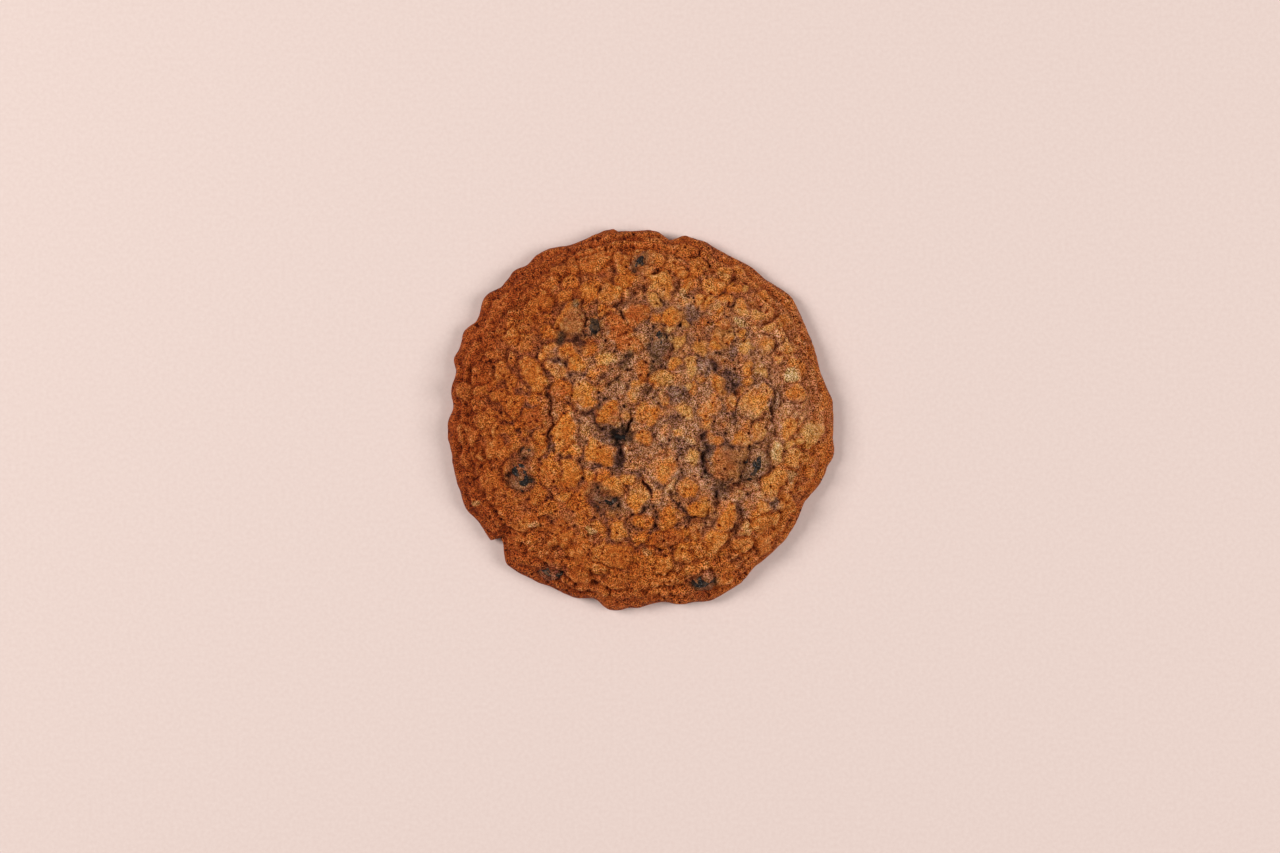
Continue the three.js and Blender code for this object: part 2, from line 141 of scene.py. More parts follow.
# Fine relief that only this mesh carries. Spots have a cell, a share of cells, two radii and a height.
GRIT = [(2.3, 0.9, 0.7, 1.5, 0.38), (1.3, 0.9, 0.35, 0.8, 0.25)]
PORES = [(2.6, 0.36, 0.22, 0.45, 0.9), (1.3, 0.34, 0.18, 0.34, 0.7)]
DIMPLES = (4.2, 0.5, 0.9, 1.9, 0.35)
GRAIN = [(0.12, 1.2), (0.13, 0.66)]
WRINKLE_PITCH = 1.9
WRINKLE_DEPTH = 0.42
WRINKLE_SWAY = (0.7, 9)
WRINKLE_BREAK = (0.5, 5)
WRINKLE_BAND = (0.3, 1.2, 5.0, 8.0)

# Maps of the relief, which tell hollows from crests for the painted shade in hollows and the painted light
# on crests
MAP_HALF = 50
MAP_STEP = 0.2
CREST_REACHES = (0.6, 1.8)

# Mesh
TOP_RINGS = 158
EDGE_RINGS = 9
UNDER_RINGS = 58
UNDER_MARGIN = 0.6
SECTION_POINTS = 4001

# The plan's outline: angle and radius, from one bulge or dent to the next
OUTLINE = [
    (4, 44.7), (15, 43.1), (27, 43.7), (39, 45.0), (49, 43.4), (56, 43.6), (62, 43.0), (72, 43.9),
    (76, 43.8), (80.5, 42.3), (86, 43.8), (96.8, 43.9), (98.4, 44.7), (111, 43.7), (121, 45.2),
    (127, 44.7), (131, 45.4), (136, 44.7), (142, 46.1), (149, 44.5), (154, 45.9), (159, 45.3),
    (162, 45.7), (166, 44.4), (171, 44.7), (176, 43.8), (182, 45.1), (191, 44.8), (200, 45.2),
    (207, 45.8), (213, 44.6), (218.8, 44.8), (220.3, 42.8), (227.8, 46.0), (237, 44.9), (242.5, 44.1),
    (249, 44.4), (255, 43.2), (261, 45.0), (267, 44.0), (276.5, 42.8), (284, 44.3), (292, 45.2),
    (300, 44.6), (308, 43.4), (320, 43.7), (333, 42.8), (341, 44.3), (345, 44.7), (348.6, 45.6),
    (355, 44.8),
]

# How brown an oat's skin of dough is: 0 pale gold, 0.5 orange, 1 red-brown
GOLD, AMBER, ORANGE, RED = 0.1, 0.35, 0.6, 0.95

# The oats and crags that stand out most: x, y, length, width, angle, rise, browning
OATS = [
    (-12, 37, 9, 6, 20, 0.7, ORANGE), (-12, 29.3, 6, 6, 0, 0.7, ORANGE),
    (4.8, 31, 8, 6, -35, 1.1, AMBER), (2.8, 27.2, 5, 3, -60, 1.1, GOLD),
    (-1.2, 24, 7.4, 6.5, 70, 1.5, RED), (-4.8, 19.4, 10.6, 6.5, -35, 1.5, RED),
    (7.6, 23.4, 6, 5, 60, 1.0, AMBER), (8.2, 17.4, 5, 3.8, -70, 1.0, GOLD),
    (17, 31, 6, 5, 0, 0.7, ORANGE), (23, 25.4, 4, 3.2, 90, 0.6, AMBER),
    (28.5, 27.6, 4.5, 3, -60, 0.6, AMBER), (14, 16.2, 5, 4, 20, 0.8, GOLD),
    (24.2, 16.6, 5, 4, 20, 0.8, GOLD), (28.8, 16.8, 4.5, 4.5, 0, 0.8, AMBER),
    (33.8, 17, 5, 4, 80, 0.7, AMBER), (18.2, 22, 4.5, 4, 0, 0.7, ORANGE),
    (-23.2, 27, 9, 5, 62, 0.7, ORANGE), (-29.2, 20.5, 6, 4.5, 40, 0.6, AMBER),
    (-24.3, 9.6, 11, 5.2, -66, 1.2, ORANGE), (-25.2, 0.2, 9, 6, 15, 1.1, RED),
    (-33.2, 5.2, 5.5, 4.5, 0, 0.6, ORANGE), (-33, -7.2, 5.5, 5, 70, 0.7, ORANGE),
    (-35.2, -14, 6.5, 5, 60, 0.7, ORANGE), (-37.2, -8.4, 3.4, 2.2, -40, 0.6, GOLD),
    (-13, 5.4, 7.6, 6.6, -15, 1.4, AMBER), (-7, 1.6, 7.6, 5, 62, 1.2, ORANGE),
    (-1.6, 6.2, 6.6, 4.6, 75, 1.3, AMBER), (1.7, 1.5, 6.4, 5.6, 0, 1.4, ORANGE),
    (0.4, -4.6, 4.4, 3.8, 0, 1.0, ORANGE), (5, -11, 8, 7, -50, 1.3, ORANGE),
    (-9.6, -7.6, 8, 6, -25, 1.3, ORANGE), (-17.6, -2.8, 10, 5.4, 78, 1.2, ORANGE),
    (-15.9, -12.4, 8.4, 4.2, 82, 1.2, ORANGE), (5.6, 9.4, 6, 4.8, -10, 1.1, GOLD),
    (11.2, 11.4, 4.8, 3, 80, 0.9, GOLD), (10.2, 1.2, 6.4, 3, -48, 0.9, GOLD),
    (15.6, 3, 6.4, 5, 80, 1.1, ORANGE), (8.8, -3.4, 3, 3, 0, 0.8, AMBER),
    (12, -8.8, 3.6, 3.4, 0, 0.8, GOLD), (-14.4, 12.4, 6, 4.8, 30, 1.0, AMBER),
    (-7.4, 13.6, 5.6, 4, -15, 1.0, GOLD), (17.6, 8, 7.4, 3.2, -64, 1.0, AMBER),
    (26.4, 3.6, 9.6, 6.8, 50, 1.4, AMBER), (35.6, 6.2, 6, 5.4, 0, 0.9, ORANGE),
    (34.2, -2.4, 6.6, 4.2, 88, 0.9, ORANGE), (39.2, -3.2, 7.4, 6, 75, 0.8, GOLD),
    (42.2, 3.6, 5.4, 3.6, 75, 0.6, ORANGE), (35, -8.8, 4.4, 3.6, -50, 0.9, AMBER),
    (31, -7.6, 7.4, 3.2, 88, 1.2, GOLD), (23.6, -4.6, 6, 4.8, -30, 1.1, AMBER),
    (17, -4.6, 4.6, 3.4, 0, 0.9, ORANGE), (20.4, -10.4, 10.6, 8.6, 10, 1.5, AMBER),
    (30.4, -14.4, 11.4, 5.2, 50, 1.3, AMBER), (25, 12, 4.8, 3, 84, 0.7, AMBER),
    (-24, -17.2, 5.6, 5, 60, 0.9, ORANGE), (-18, -18.8, 4.4, 2.8, 0, 0.8, GOLD),
    (-27.6, -24.2, 6, 3.8, -10, 0.7, GOLD), (-20, -33.6, 5, 3.8, -10, 0.7, ORANGE),
    (-5.8, -32, 9, 5.8, 6, 1.1, ORANGE), (-5, -25.8, 5.4, 4.4, 80, 0.9, AMBER),
    (6.4, -22.6, 7, 5.4, -20, 1.0, ORANGE), (5.4, -27.4, 8.4, 5.4, 8, 1.1, RED),
    (-0.8, -18, 8.4, 5, 80, 1.2, AMBER), (-3.4, -14, 4, 3.6, 0, 1.1, ORANGE),
    (-6.2, -15.4, 7, 5.6, 30, 1.3, AMBER), (10.6, -15.8, 5.4, 4.8, -60, 1.1, ORANGE),
    (13.8, -20.2, 7.6, 5.4, 22, 1.2, AMBER), (9.8, -30.2, 5, 4.8, 0, 0.8, ORANGE),
    (5, -33.2, 5, 4.4, 0, 0.7, AMBER), (16.8, -28.2, 7, 6, 50, 1.0, ORANGE),
    (19.8, -22.4, 7, 4, 68, 1.1, ORANGE), (24.3, -25, 4.6, 4.2, 0, 1.0, GOLD),
    (28.4, -24.4, 4.6, 4.2, 30, 0.9, AMBER), (33.4, -20.4, 7, 5, 60, 0.9, AMBER),
    (23.2, -29.6, 6, 4.6, 10, 0.8, ORANGE), (28.4, -29.4, 5, 4.6, 40, 0.7, ORANGE),
    (-16, 22.4, 9.6, 6.6, 75, 1.2, AMBER), (-1, -36, 4, 3, 20, 0.5, ORANGE),
    (-33.6, -2.4, 4, 2.4, 85, 0.5, GOLD),
]

# Smaller oats between them, which only this mesh carries, in the same terms
SMALL_OATS = [
    (17, 16.4, 4.4, 3, 10, 1.0, AMBER), (20.2, 18.8, 3.4, 2.8, 0, 1.0, AMBER),
    (22.8, 19.8, 3.4, 2.8, 0, 0.95, AMBER), (27.6, 10.8, 2.8, 2.4, 0, 0.95, GOLD),
    (8, 12.8, 3.4, 2.6, 0, 1.0, AMBER), (20.8, 4.2, 5, 3.4, 90, 1.0, AMBER),
    (5.4, 5, 4.2, 3.4, 90, 1.0, AMBER), (11.2, 7.2, 2.2, 2.2, 0, 0.9, GOLD),
    (19.4, 27.2, 4.4, 3.6, -40, 0.95, ORANGE), (23.4, 30.4, 3, 1.8, -60, 0.9, GOLD),
    (10, 21.8, 2.8, 2.4, 0, 1.0, GOLD), (6.9, 20.4, 3.2, 2.2, 0, 1.1, GOLD),
    (26.4, 24, 4.6, 2.8, -20, 0.9, AMBER), (29.6, 20.8, 3.6, 2.6, 40, 0.9, AMBER),
    (31.4, 13.4, 3, 2.4, 60, 0.9, ORANGE), (13.6, 27.4, 4.2, 3, 20, 0.9, ORANGE),
    (24.4, 8.6, 3, 2.2, 30, 0.9, AMBER), (9.6, 33, 3.2, 2.2, -30, 0.8, ORANGE),
]

# Crevices between them: width, depth, and the points that each one runs through
CREVICES = [
    (1.5, 1.3, [(5.6, 13.6), (2.6, 11), (2, 8.4), (1.6, 6.4), (0.2, 4.2), (-2.5, -0.4), (-3.2, -2.4)]),
    (2.2, 2.1, [(-9.4, -2.6), (-6.6, -3.2), (-4.2, -4.2)]),
    (3.4, 1.1, [(-4.2, -4.2), (-5.2, -7.4), (-5, -11.6)]),
    (1.6, 1.0, [(-13.6, 1.2), (-10.2, 1.8), (-9.6, -0.8), (-9.2, -3)]),
    (1.8, 1.1, [(-2.8, 14.4), (-4.4, 12.4), (-5.2, 10.4), (-7.2, 8.8)]),
    (1.5, 1.0, [(-20.6, 7.4), (-21.2, 5), (-20.6, 2.4), (-21.2, 0.8), (-20.2, -1.8), (-22, -5.8)]),
    (1.5, 1.2, [(30.4, 6.4), (30.2, 2.8), (31, -0.4), (31.3, -3.4)]),
    (2.6, 1.4, [(16.4, 13), (19.4, 10), (21.6, 8), (22, 6.2)]),
    (3.6, 1.2, [(15, -3.6), (14.8, -7.6), (15.6, -12.2), (18.4, -15.6), (22.4, -16)]),
    (1.6, 1.2, [(18, -16.6), (17.4, -19), (14.8, -23), (10.8, -22.8), (9.6, -20.4), (7.2, -18.2),
                (6.6, -16)]),
    (1.3, 0.9, [(0.2, -13.8), (1.6, -16), (1.5, -19.2), (0, -22), (-3, -23.2)]),
    (1.6, 1.1, [(-18.8, 23.6), (-18.2, 20.4), (-16.8, 17.6), (-13.4, 17), (-9.8, 17.4)]),
    (1.6, 0.8, [(-9.2, 24.8), (-5, 26.6), (-0.4, 29), (2, 31.6)]),
    (1.2, 0.8, [(3.2, 34.2), (5.8, 33.4), (7.8, 31.6), (10.2, 30.4)]),
    (1.6, 0.9, [(-12.2, -4), (-13.6, -6.6), (-14.4, -9), (-13.2, -13.6)]),
    (1.5, 1.0, [(22.4, -19.4), (23.4, -22), (21.4, -25.4)]),
    (1.5, 0.8, [(20, -35.8), (24.2, -34)]),
]

# Raisins that show: x, y, length, width, height, angle, stand, and how much dough smears the skin
RAISINS = [
    (-0.3, 36.7, 5.2, 3, 3.4, 45, -0.1, 0.02),
    (-11.3, 21.2, 5, 3.4, 4, 76, 0, 0.12),
    (4.5, 17.4, 7.6, 4.8, 5, 82, 0, 0),
    (-4.3, -4.2, 4.6, 4, 4.4, -20, -0.9, 0),
    (-26.2, -7.5, 3.4, 2.6, 3, 20, 0.1, 0.1),
    (26.4, -10.8, 9, 6.2, 6, 54, 0.4, 0.03),
    (-28, -13.6, 7.6, 5.2, 5, -68, 0.2, 0),
    (-8.2, -18.6, 7, 5, 5, -24, 0.2, 0),
    (-21.4, -36, 7, 3, 3.4, -8, 0, 0.1),
    (14.8, -38.2, 5.6, 3.8, 4, 12, 0.2, 0),
]

# Bare flakes of oat: x, y, length, width, angle, how bare
FLAKES = [
    (34.5, 9.8, 3.4, 2.2, 20, 0.9), (23, 22.3, 3, 1.8, -30, 0.75), (-38.3, -19, 2.2, 1.8, 50, 0.5),
    (-11, -25.7, 3.2, 1.7, -20, 0.6), (9.5, 28.8, 3, 1.6, 80, 0.5), (35, -13.5, 4, 1.6, 75, 0.5),
    (-24.6, -24.6, 2.6, 1.5, 10, 0.4), (1.5, -30.5, 2.2, 1.3, 0, 0.4), (30.6, -7.2, 4.6, 1.5, 86, 0.55),
    (17.2, 25.6, 2.4, 1.4, 40, 0.4),
]

# Smears of dough over fruit that lies near the surface: x, y, length, width, angle, strength
VEILS = [
    (-14.6, 21.2, 8.6, 7.6, 80, 0.6), (20.4, -10.4, 11, 9.4, 10, 0.6), (-9.6, -17.2, 8, 6.4, -30, 0.55),
    (-27.6, -12.4, 8, 6, -70, 0.4), (-20, -35, 7, 4, -10, 0.5), (14, -37.4, 8, 4.4, 10, 0.5),
    (0.4, 35.6, 6, 4.4, 40, 0.5),
]

# Patches that fruit juice has turned purple-grey: x, y, length, width, angle, strength
STAINS = [
    (20.5, 9, 9, 5, -45, 1.0), (14.8, 12, 7, 5, 0, 1.0), (11.8, 24, 3.6, 6, 0, 0.9),
    (20.6, 15.4, 2.4, 4, 0, 0.8), (18.5, -16.5, 6, 4, 0, 0.6), (15.4, -8, 4.6, 12, 0, 1.0),
    (4.6, 15.6, 6, 8, 0, 0.8), (-6.4, -4, 8, 6, 0, 0.9), (-5, -9, 4, 8, 0, 0.8),
    (-19, 13, 5, 6, 0, 0.6), (8.5, 5.5, 6, 5, 0, 0.9), (9.8, -6.5, 4, 6, 0, 0.5),
    (-14.5, 20, 8, 8, 0, 0.3), (-9, -17.5, 8, 6, 0, 0.6), (25, -11, 9, 7, 50, 0.4),
    (-26.5, -10, 6, 8, 0, 0.2), (23, -21, 4, 4, 0, 0.5), (30.4, -19, 3, 5, 0, 0.8),
    (-9, 8.6, 6, 3, 30, 0.4), (30.8, 3, 3, 9, 0, 0.4), (-20.5, 2, 4, 10, 0, 0.3),
    (20.6, 1, 4, 6, 0, 0.4),
]

# Patches that buried fruit darkens to grey-green, in the same terms
SMUDGES = [
    (-18, 20.6, 8, 3, 80, 0.8), (-10.6, 21, 6.5, 3.4, 75, 0.6), (-15, 26.4, 2.6, 2.4, 0, 1.3),
    (-14.6, 21.2, 8, 7, 80, 0.5), (4.5, 17.4, 10, 5.6, 82, 1.0), (-3, 14.3, 3.4, 2.2, 20, 0.9),
    (-4.2, 12, 4, 2.2, 70, 0.7), (2.2, 11, 4.4, 1.8, 75, 0.7), (-28, -13.6, 8.6, 6, -68, 1.2),
    (-26.2, -7.5, 4.6, 3.6, 20, 0.7), (-8.6, -18.4, 9, 5.6, -28, 1.0), (15.4, -8.4, 10, 2.6, 88, 0.5),
    (18.6, -15.2, 6.5, 2.6, -30, 0.5), (26.4, -10.8, 10, 6.5, 54, 0.8), (22, -10.6, 9, 8, 10, 0.45),
    (-0.3, 36.7, 5.5, 3, 50, 1.3), (-21.4, -36, 8, 3, -8, 0.4), (14.8, -38.2, 6.5, 3.6, 12, 1.1),
    (-4.6, -3.8, 6, 4.6, 0, 1.2), (-17.4, 12.8, 3.4, 5, 0, 0.25), (-6, 8, 5, 1.8, 40, 0.4),
]

# Broad patches that are paler than the rest, or with a minus darker, in the same terms; the darkest, at
# (-4.4, -4), is painted shade in the pit over the deep raisin
SHADES = [
    (10, -9.5, 15, 12, 0, 0.1), (1, 1.5, 10, 9, 0, 0.07), (0, 31, 13, 9, 0, 0.07),
    (12, 21, 13, 11, 0, -0.1), (22, 11, 14, 11, 0, -0.09), (9, -20, 12, 8, 0, -0.09),
    (-8, -10, 8, 11, 0, -0.08), (-10, -30, 18, 9, 0, 0.07), (38, -20, 9, 12, 0, -0.09),
    (-24, -30, 14, 8, -40, 0.07), (-4.4, -4, 5.5, 4.5, 0, -0.3), (-8.4, -18.4, 8, 5.5, -25, -0.12),
]


class Draw:
    """A small generator of even draws between 0 and 1, the same on every run."""

    MULTIPLIER = 1664525
    STEP = 1013904223
    CYCLE = 2**32

    def __init__(self, seed):
        self.state = seed

    def unit(self):
        self.state = (self.MULTIPLIER * self.state + self.STEP) % self.CYCLE
        return self.state / self.CYCLE

    def between(self, low, high):
        return low + (high - low) * self.unit()


draw = Draw(SEED)


def make_waves(count, shortest, longest):
    """Plane waves in drawn directions, which add up to a smooth field about 0."""
    waves = []
    for _ in range(count):
        heading = draw.between(0, FULL_TURN)
        rate = FULL_TURN / draw.between(shortest, longest)
        waves.append((rate * math.cos(heading), rate * math.sin(heading), draw.between(0, FULL_TURN)))
    return waves


def wave_field(waves, x, y):
    return sum(np.sin(kx * x + ky * y + phase) for kx, ky, phase in waves) / math.sqrt(len(waves))


swell_waves = make_waves(*SWELL_WAVES)
bend_waves_x = make_waves(*BEND_WAVES)
bend_waves_y = make_waves(*BEND_WAVES)


def smooth(value, low, high):
    """0 up to the low value and 1 from the high one, with an easy step between them."""
    part = np.clip((value - low) / (high - low), 0, 1)
    return part * part * (3 - 2 * part)


def outline_radius(angle):
    """Radius of the plan at angles in degrees, easing from one knot to the next."""
    angles = np.array([a for a, _ in OUTLINE])
    radii = np.array([r for _, r in OUTLINE])
    turn = np.mod(angle, 360)
    after = np.searchsorted(angles, turn, side="right") % len(angles)
    before = after - 1
    span = np.mod(angles[after] - angles[before], 360)
    along = np.mod(turn - angles[before], 360) / span
    return radii[before] + (radii[after] - radii[before]) * smooth(along, 0, 1)


def polar(radius, angle):
    turn = np.radians(angle)
    return radius * np.cos(turn), radius * np.sin(turn)


def broad_radius(angle):
    """The outline averaged over a wide sweep, which the crown follows."""
    offsets = np.linspace(-BROAD_SPREAD, BROAD_SPREAD, BROAD_STEPS + 1)
    return sum(outline_radius(angle + offset) for offset in offsets) / len(offsets)


def reach_at(angle, share):
    """Distance from the middle at a share of the way out, the notches showing near the rim only."""
    broad = broad_radius(angle)
    return broad * share + (outline_radius(angle) - broad) * share**NOTCH_FADE


def share_at(x, y):
    """The share of the way out at points of the plan, never past the outline."""
    angle = np.degrees(np.arctan2(y, x))
    broad = broad_radius(angle)
    notch = outline_radius(angle) - broad
    share = np.hypot(x, y) / broad
    for _ in range(SHARE_PASSES):
        share = np.clip((np.hypot(x, y) - notch * share**NOTCH_FADE) / broad, 0, 1)
    return share


def dome_height(share):
    """Height of the bare dome at a share of the radius."""
    return RIM_HEIGHT + (CROWN_HEIGHT - RIM_HEIGHT) * (1 - share**SHOULDER) ** FLANK


def dome_fall(share, radius):
    """How steeply the bare dome falls there, per millimetre."""
    start = np.clip(share - SLOPE_STEP, 0, 1)
    end = np.clip(share + SLOPE_STEP, 0, 1)
    return (dome_height(start) - dome_height(end)) / ((end - start) * radius)


def spread_oats():
    """The listed oats, the spiral's that crowd no earlier one, and the small ones.

    Each one gets a lean, a shade and how much it shows after the values that are listed."""
    oats = [list(oat) for oat in OATS]
    for i in range(SPIRAL_COUNT):
        radius = SPIRAL_REACH * math.sqrt((i + 0.5) / SPIRAL_COUNT)
        angle = math.radians(i * SPIRAL_TURN)
        x = radius * math.cos(angle) + draw.between(-SPIRAL_JITTER, SPIRAL_JITTER)
        y = radius * math.sin(angle) + draw.between(-SPIRAL_JITTER, SPIRAL_JITTER)
        length = draw.between(3.2, 6.4)
        width = length * draw.between(0.6, 0.95)
        turn = draw.between(0, 180)
        rise = draw.between(0.55, 1.15)
        reach = (length + width) / 4
        crowded = any(
            math.hypot(o[0] - x, o[1] - y) < SPIRAL_CLEARANCE * (reach + (o[2] + o[3]) / 4) for o in oats
        )
        if not crowded:
            oats.append([x, y, length, width, turn, rise, None])
    for oat in oats:
        oat.append(draw.between(0, FULL_TURN))
    for oat in oats:
        by_hand = oat[6] is not None
        oat[6] = oat[6] if by_hand else draw.between(0.15, 0.85)
        oat.append(draw.between(-1, 1))
        oat.append(1 if by_hand else SPIRAL_SHOW + (1 - SPIRAL_SHOW) * draw.unit() ** SPIRAL_BURY)
    for number, oat in enumerate(SMALL_OATS):
        lean = FULL_TURN * lattice_draw(number, 1, 871)
        shade = 2 * lattice_draw(number, 2, 871) - 1
        oats.append([*oat, lean, shade, 1])
    return oats


def turned(x, y, turn):
    """Points measured along a direction and across it."""
    return x * math.cos(turn) + y * math.sin(turn), y * math.cos(turn) - x * math.sin(turn)


def ellipse_reach(x, y, cx, cy, length, width, angle):
    """0 at the middle of an ellipse and 1 on its edge."""
    along, across = turned(x - cx, y - cy, math.radians(angle))
    return np.hypot(along / (length / 2), across / (width / 2))


def patches(ellipses, x, y, inner, outer, wander=0):
    """The strength over the points of each soft-edged patch in turn, its edge moved by a wander."""
    for *ellipse, strength in ellipses:
        out = ellipse_reach(x, y, *ellipse) + wander
        yield strength * (1 - smooth(out, inner, outer))


def strongest(layers):
    """The highest of several layers at each point, and never below 0."""
    best = 0
    for layer in layers:
        best = np.maximum(best, layer)
    return best


def facet_reach(number, dx, dy, length, width, angle):
    """Like ellipse_reach, with straight cuts of its own for each oat."""
    along, across = turned(dx, dy, math.radians(angle))
    along = along / (SPREAD * length / 2)
    across = across / (SPREAD * width / 2)
    out = np.hypot(along, across)
    nearest, farthest = FACET_STAND
    for k in range(FACETS):
        facing = FULL_TURN * (k + FACET_DRIFT * lattice_draw(number, k, 901)) / FACETS
        stand = nearest + (farthest - nearest) * lattice_draw(number, k, 911)
        out = np.maximum(out, (along * math.cos(facing) + across * math.sin(facing)) / stand)
    return out


def noise(x, y, shape, salt, octaves=3):
    """Noise about 0 with a height and a size."""
    height, size = shape
    return height * cloud(x, y, size, salt, octaves)


def pillow_height(out, downhill, rise, show):
    """Height of the dough over an oat, from how far out of its middle and how far downhill a point is."""
    level = PROUD * (RISE_SHARE[0] + RISE_SHARE[1] * rise) * (SHOW_SHARE[0] + SHOW_SHARE[1] * show)
    return level * (1 + LEAN * downhill) * (1 - np.clip(out, 0, 1) ** FLATNESS) ** ROUNDNESS


def oat_rise(x, y):
    """Height of the pillows over the oats, and what the colours take from the highest one."""
    total, highest, second, shading, showing, aside = np.zeros((6, len(x)))
    browning = np.full_like(x, 0.5)
    out_of = np.ones_like(x)
    for number, (cx, cy, length, width, angle, rise, brown, lean, shade, show) in enumerate(oats):
        near = np.flatnonzero(np.hypot(x - cx, y - cy) < SPREAD * length / 2)
        out = facet_reach(number, x[near] - cx, y[near] - cy, length, width, angle)
        downhill = ((x[near] - cx) * math.cos(lean) + (y[near] - cy) * math.sin(lean)) / (length / 2)
        pillow = pillow_height(out, downhill, rise, show)
        total[near] += pillow**MERGE
        on_top = pillow > highest[near]
        wins = near[on_top]
        second[near] = np.maximum(second[near], np.minimum(highest[near], pillow))
        highest[near] = np.maximum(highest[near], pillow)
        browning[wins] = brown
        shading[wins] = shade
        showing[wins] = show
        out_of[wins] = out[on_top]
        aside[wins] = downhill[on_top]
    core = 1 - smooth(out_of + noise(x, y, (0.4, 1.6), 141), 0.6, 1.05)
    high_side = smooth(aside + noise(x, y, (0.5, 2), 151), -1.3, -0.1)
    slab = SLAB * smooth(cloud(x, y, SLAB_SIZE, 161), 0, 0.14)
    facts = {
        "browning": np.clip(browning + SIDE_BROWNING * aside, 0, 1),
        "shading": shading,
        "core": core * showing * high_side,
        "seam": (1 - smooth(highest - second, 0, SEAM_GAP)) * smooth(second, 0.15, 0.5),
    }
    return (total + slab**MERGE) ** (1 / MERGE), facts


def distance_to_path(x, y, path):
    """How far points lie from a line through the path's points."""
    nearest = np.full_like(x, np.inf)
    for (x0, y0), (x1, y1) in zip(path, path[1:]):
        dx = x1 - x0
        dy = y1 - y0
        along = np.clip(((x - x0) * dx + (y - y0) * dy) / (dx * dx + dy * dy), 0, 1)
        nearest = np.minimum(nearest, np.hypot(x - x0 - along * dx, y - y0 - along * dy))
    return nearest


def crevice_depth(x, y):
    """How deep the deepest crevice is at each point."""
    outs = [(depth, distance_to_path(x, y, path) / (SLIT * width / 2)) for width, depth, path in CREVICES]
    return strongest(depth * np.exp(-out * out) for depth, out in outs)


def raisin_sink(x, y):
    """How far the dough sinks round and under the raisins."""
    beds = []
    for cx, cy, length, width, _, angle, _, _ in RAISINS:
        beds.append((cx, cy, length + 2 * RAISIN_MOAT, width + 2 * RAISIN_MOAT, angle, RAISIN_SINK))
    return strongest(patches(beds, x, y, RAISIN_BED, 1))


def lattice_draw(ix, iy, salt):
    """A fixed draw between 0 and 1 for each corner of a square lattice, by a well-known sine rule.

    The salt is a whole number that keeps one use of the lattice apart from the others."""
    wave = np.sin(ix * 127.1 + iy * 311.7 + salt * 74.7) * 43758.5453
    return wave - np.floor(wave)


oats = spread_oats()


def among_four(corner, u, v):
    """The blend of a square's four corners at a share u of the way right and v of the way up."""
    low = corner(0, 0) * (1 - u) + corner(1, 0) * u
    high = corner(0, 1) * (1 - u) + corner(1, 1) * u
    return low * (1 - v) + high * v


def speckle(x, y, size, salt):
    """Smooth noise from -1 to 1 with features of the given size."""
    ix = np.floor(x / size)
    iy = np.floor(y / size)
    u = smooth(x / size - ix, 0, 1)
    v = smooth(y / size - iy, 0, 1)
    return 2 * among_four(lambda right, up: lattice_draw(ix + right, iy + up, salt), u, v) - 1


def cloud(x, y, size, salt, octaves=3):
    """Speckle in ever smaller steps, each on a lattice that is turned from the one before."""
    total = 0
    for k in range(octaves):
        along, across = turned(x, y, 0.5 + 0.9 * k + 0.37 * salt)
        total = total + speckle(along, across, size / 2**k, salt + 9 * k) / 2**k
    return total / (2 - 2 / 2**octaves)


def spots(x, y, cell, share, small, large, height, salt):
    """Round spots, one in a share of the cells of a jittered lattice: full at a middle, 0 outside."""
    best = np.zeros_like(x)
    ix = np.floor(x / cell)
    iy = np.floor(y / cell)
    for ox in (-1, 0, 1):
        for oy in (-1, 0, 1):
            cx = ix + ox
            cy = iy + oy
            px = (cx + lattice_draw(cx, cy, salt)) * cell
            py = (cy + lattice_draw(cx, cy, salt + 1)) * cell
            radius = small + (large - small) * lattice_draw(cx, cy, salt + 2) ** 2
            there = lattice_draw(cx, cy, salt + 3) < share
            out = np.hypot(x - px, y - py) / radius
            best = np.maximum(best, np.where(there, np.clip(1 - out * out, 0, 1), 0))
    return height * best


def raisin_top(x, y):
    """How far the highest raisin over each point stands off the bare dome."""
    highest = np.full_like(x, -np.inf)
    for cx, cy, length, width, height, angle, stand, _ in RAISINS:
        out = ellipse_reach(x, y, cx, cy, length, width, angle)
        cap = stand - height / 2 * (1 - np.sqrt(np.clip(1 - out * out, 0, 1)))
        highest = np.maximum(highest, np.where(out < 1, cap, -np.inf))
    return highest


def crumb(x, y):
    """Grit that stands up, pores that go down and the grain over both."""
    grit = sum(spots(x, y, *row, 11 + 10 * i) for i, row in enumerate(GRIT))
    pore = strongest(spots(x, y, *row, 61 + 10 * i) for i, row in enumerate(PORES))
    grain = sum(height * speckle(x, y, size, 101 + 7 * i) for i, (height, size) in enumerate(GRAIN))
    return grit, pore, grain


def rim_wrinkles(x, y, inset):
    """Folds that run round the cookie just inside its edge."""
    start, full, fading, end = WRINKLE_BAND
    window = smooth(inset, start, full) * (1 - smooth(inset, fading, end))
    phase = inset / WRINKLE_PITCH + noise(x, y, WRINKLE_SWAY, 401, 2)
    return WRINKLE_DEPTH * np.sin(FULL_TURN * phase) * (0.5 + noise(x, y, WRINKLE_BREAK, 431, 2)) * window


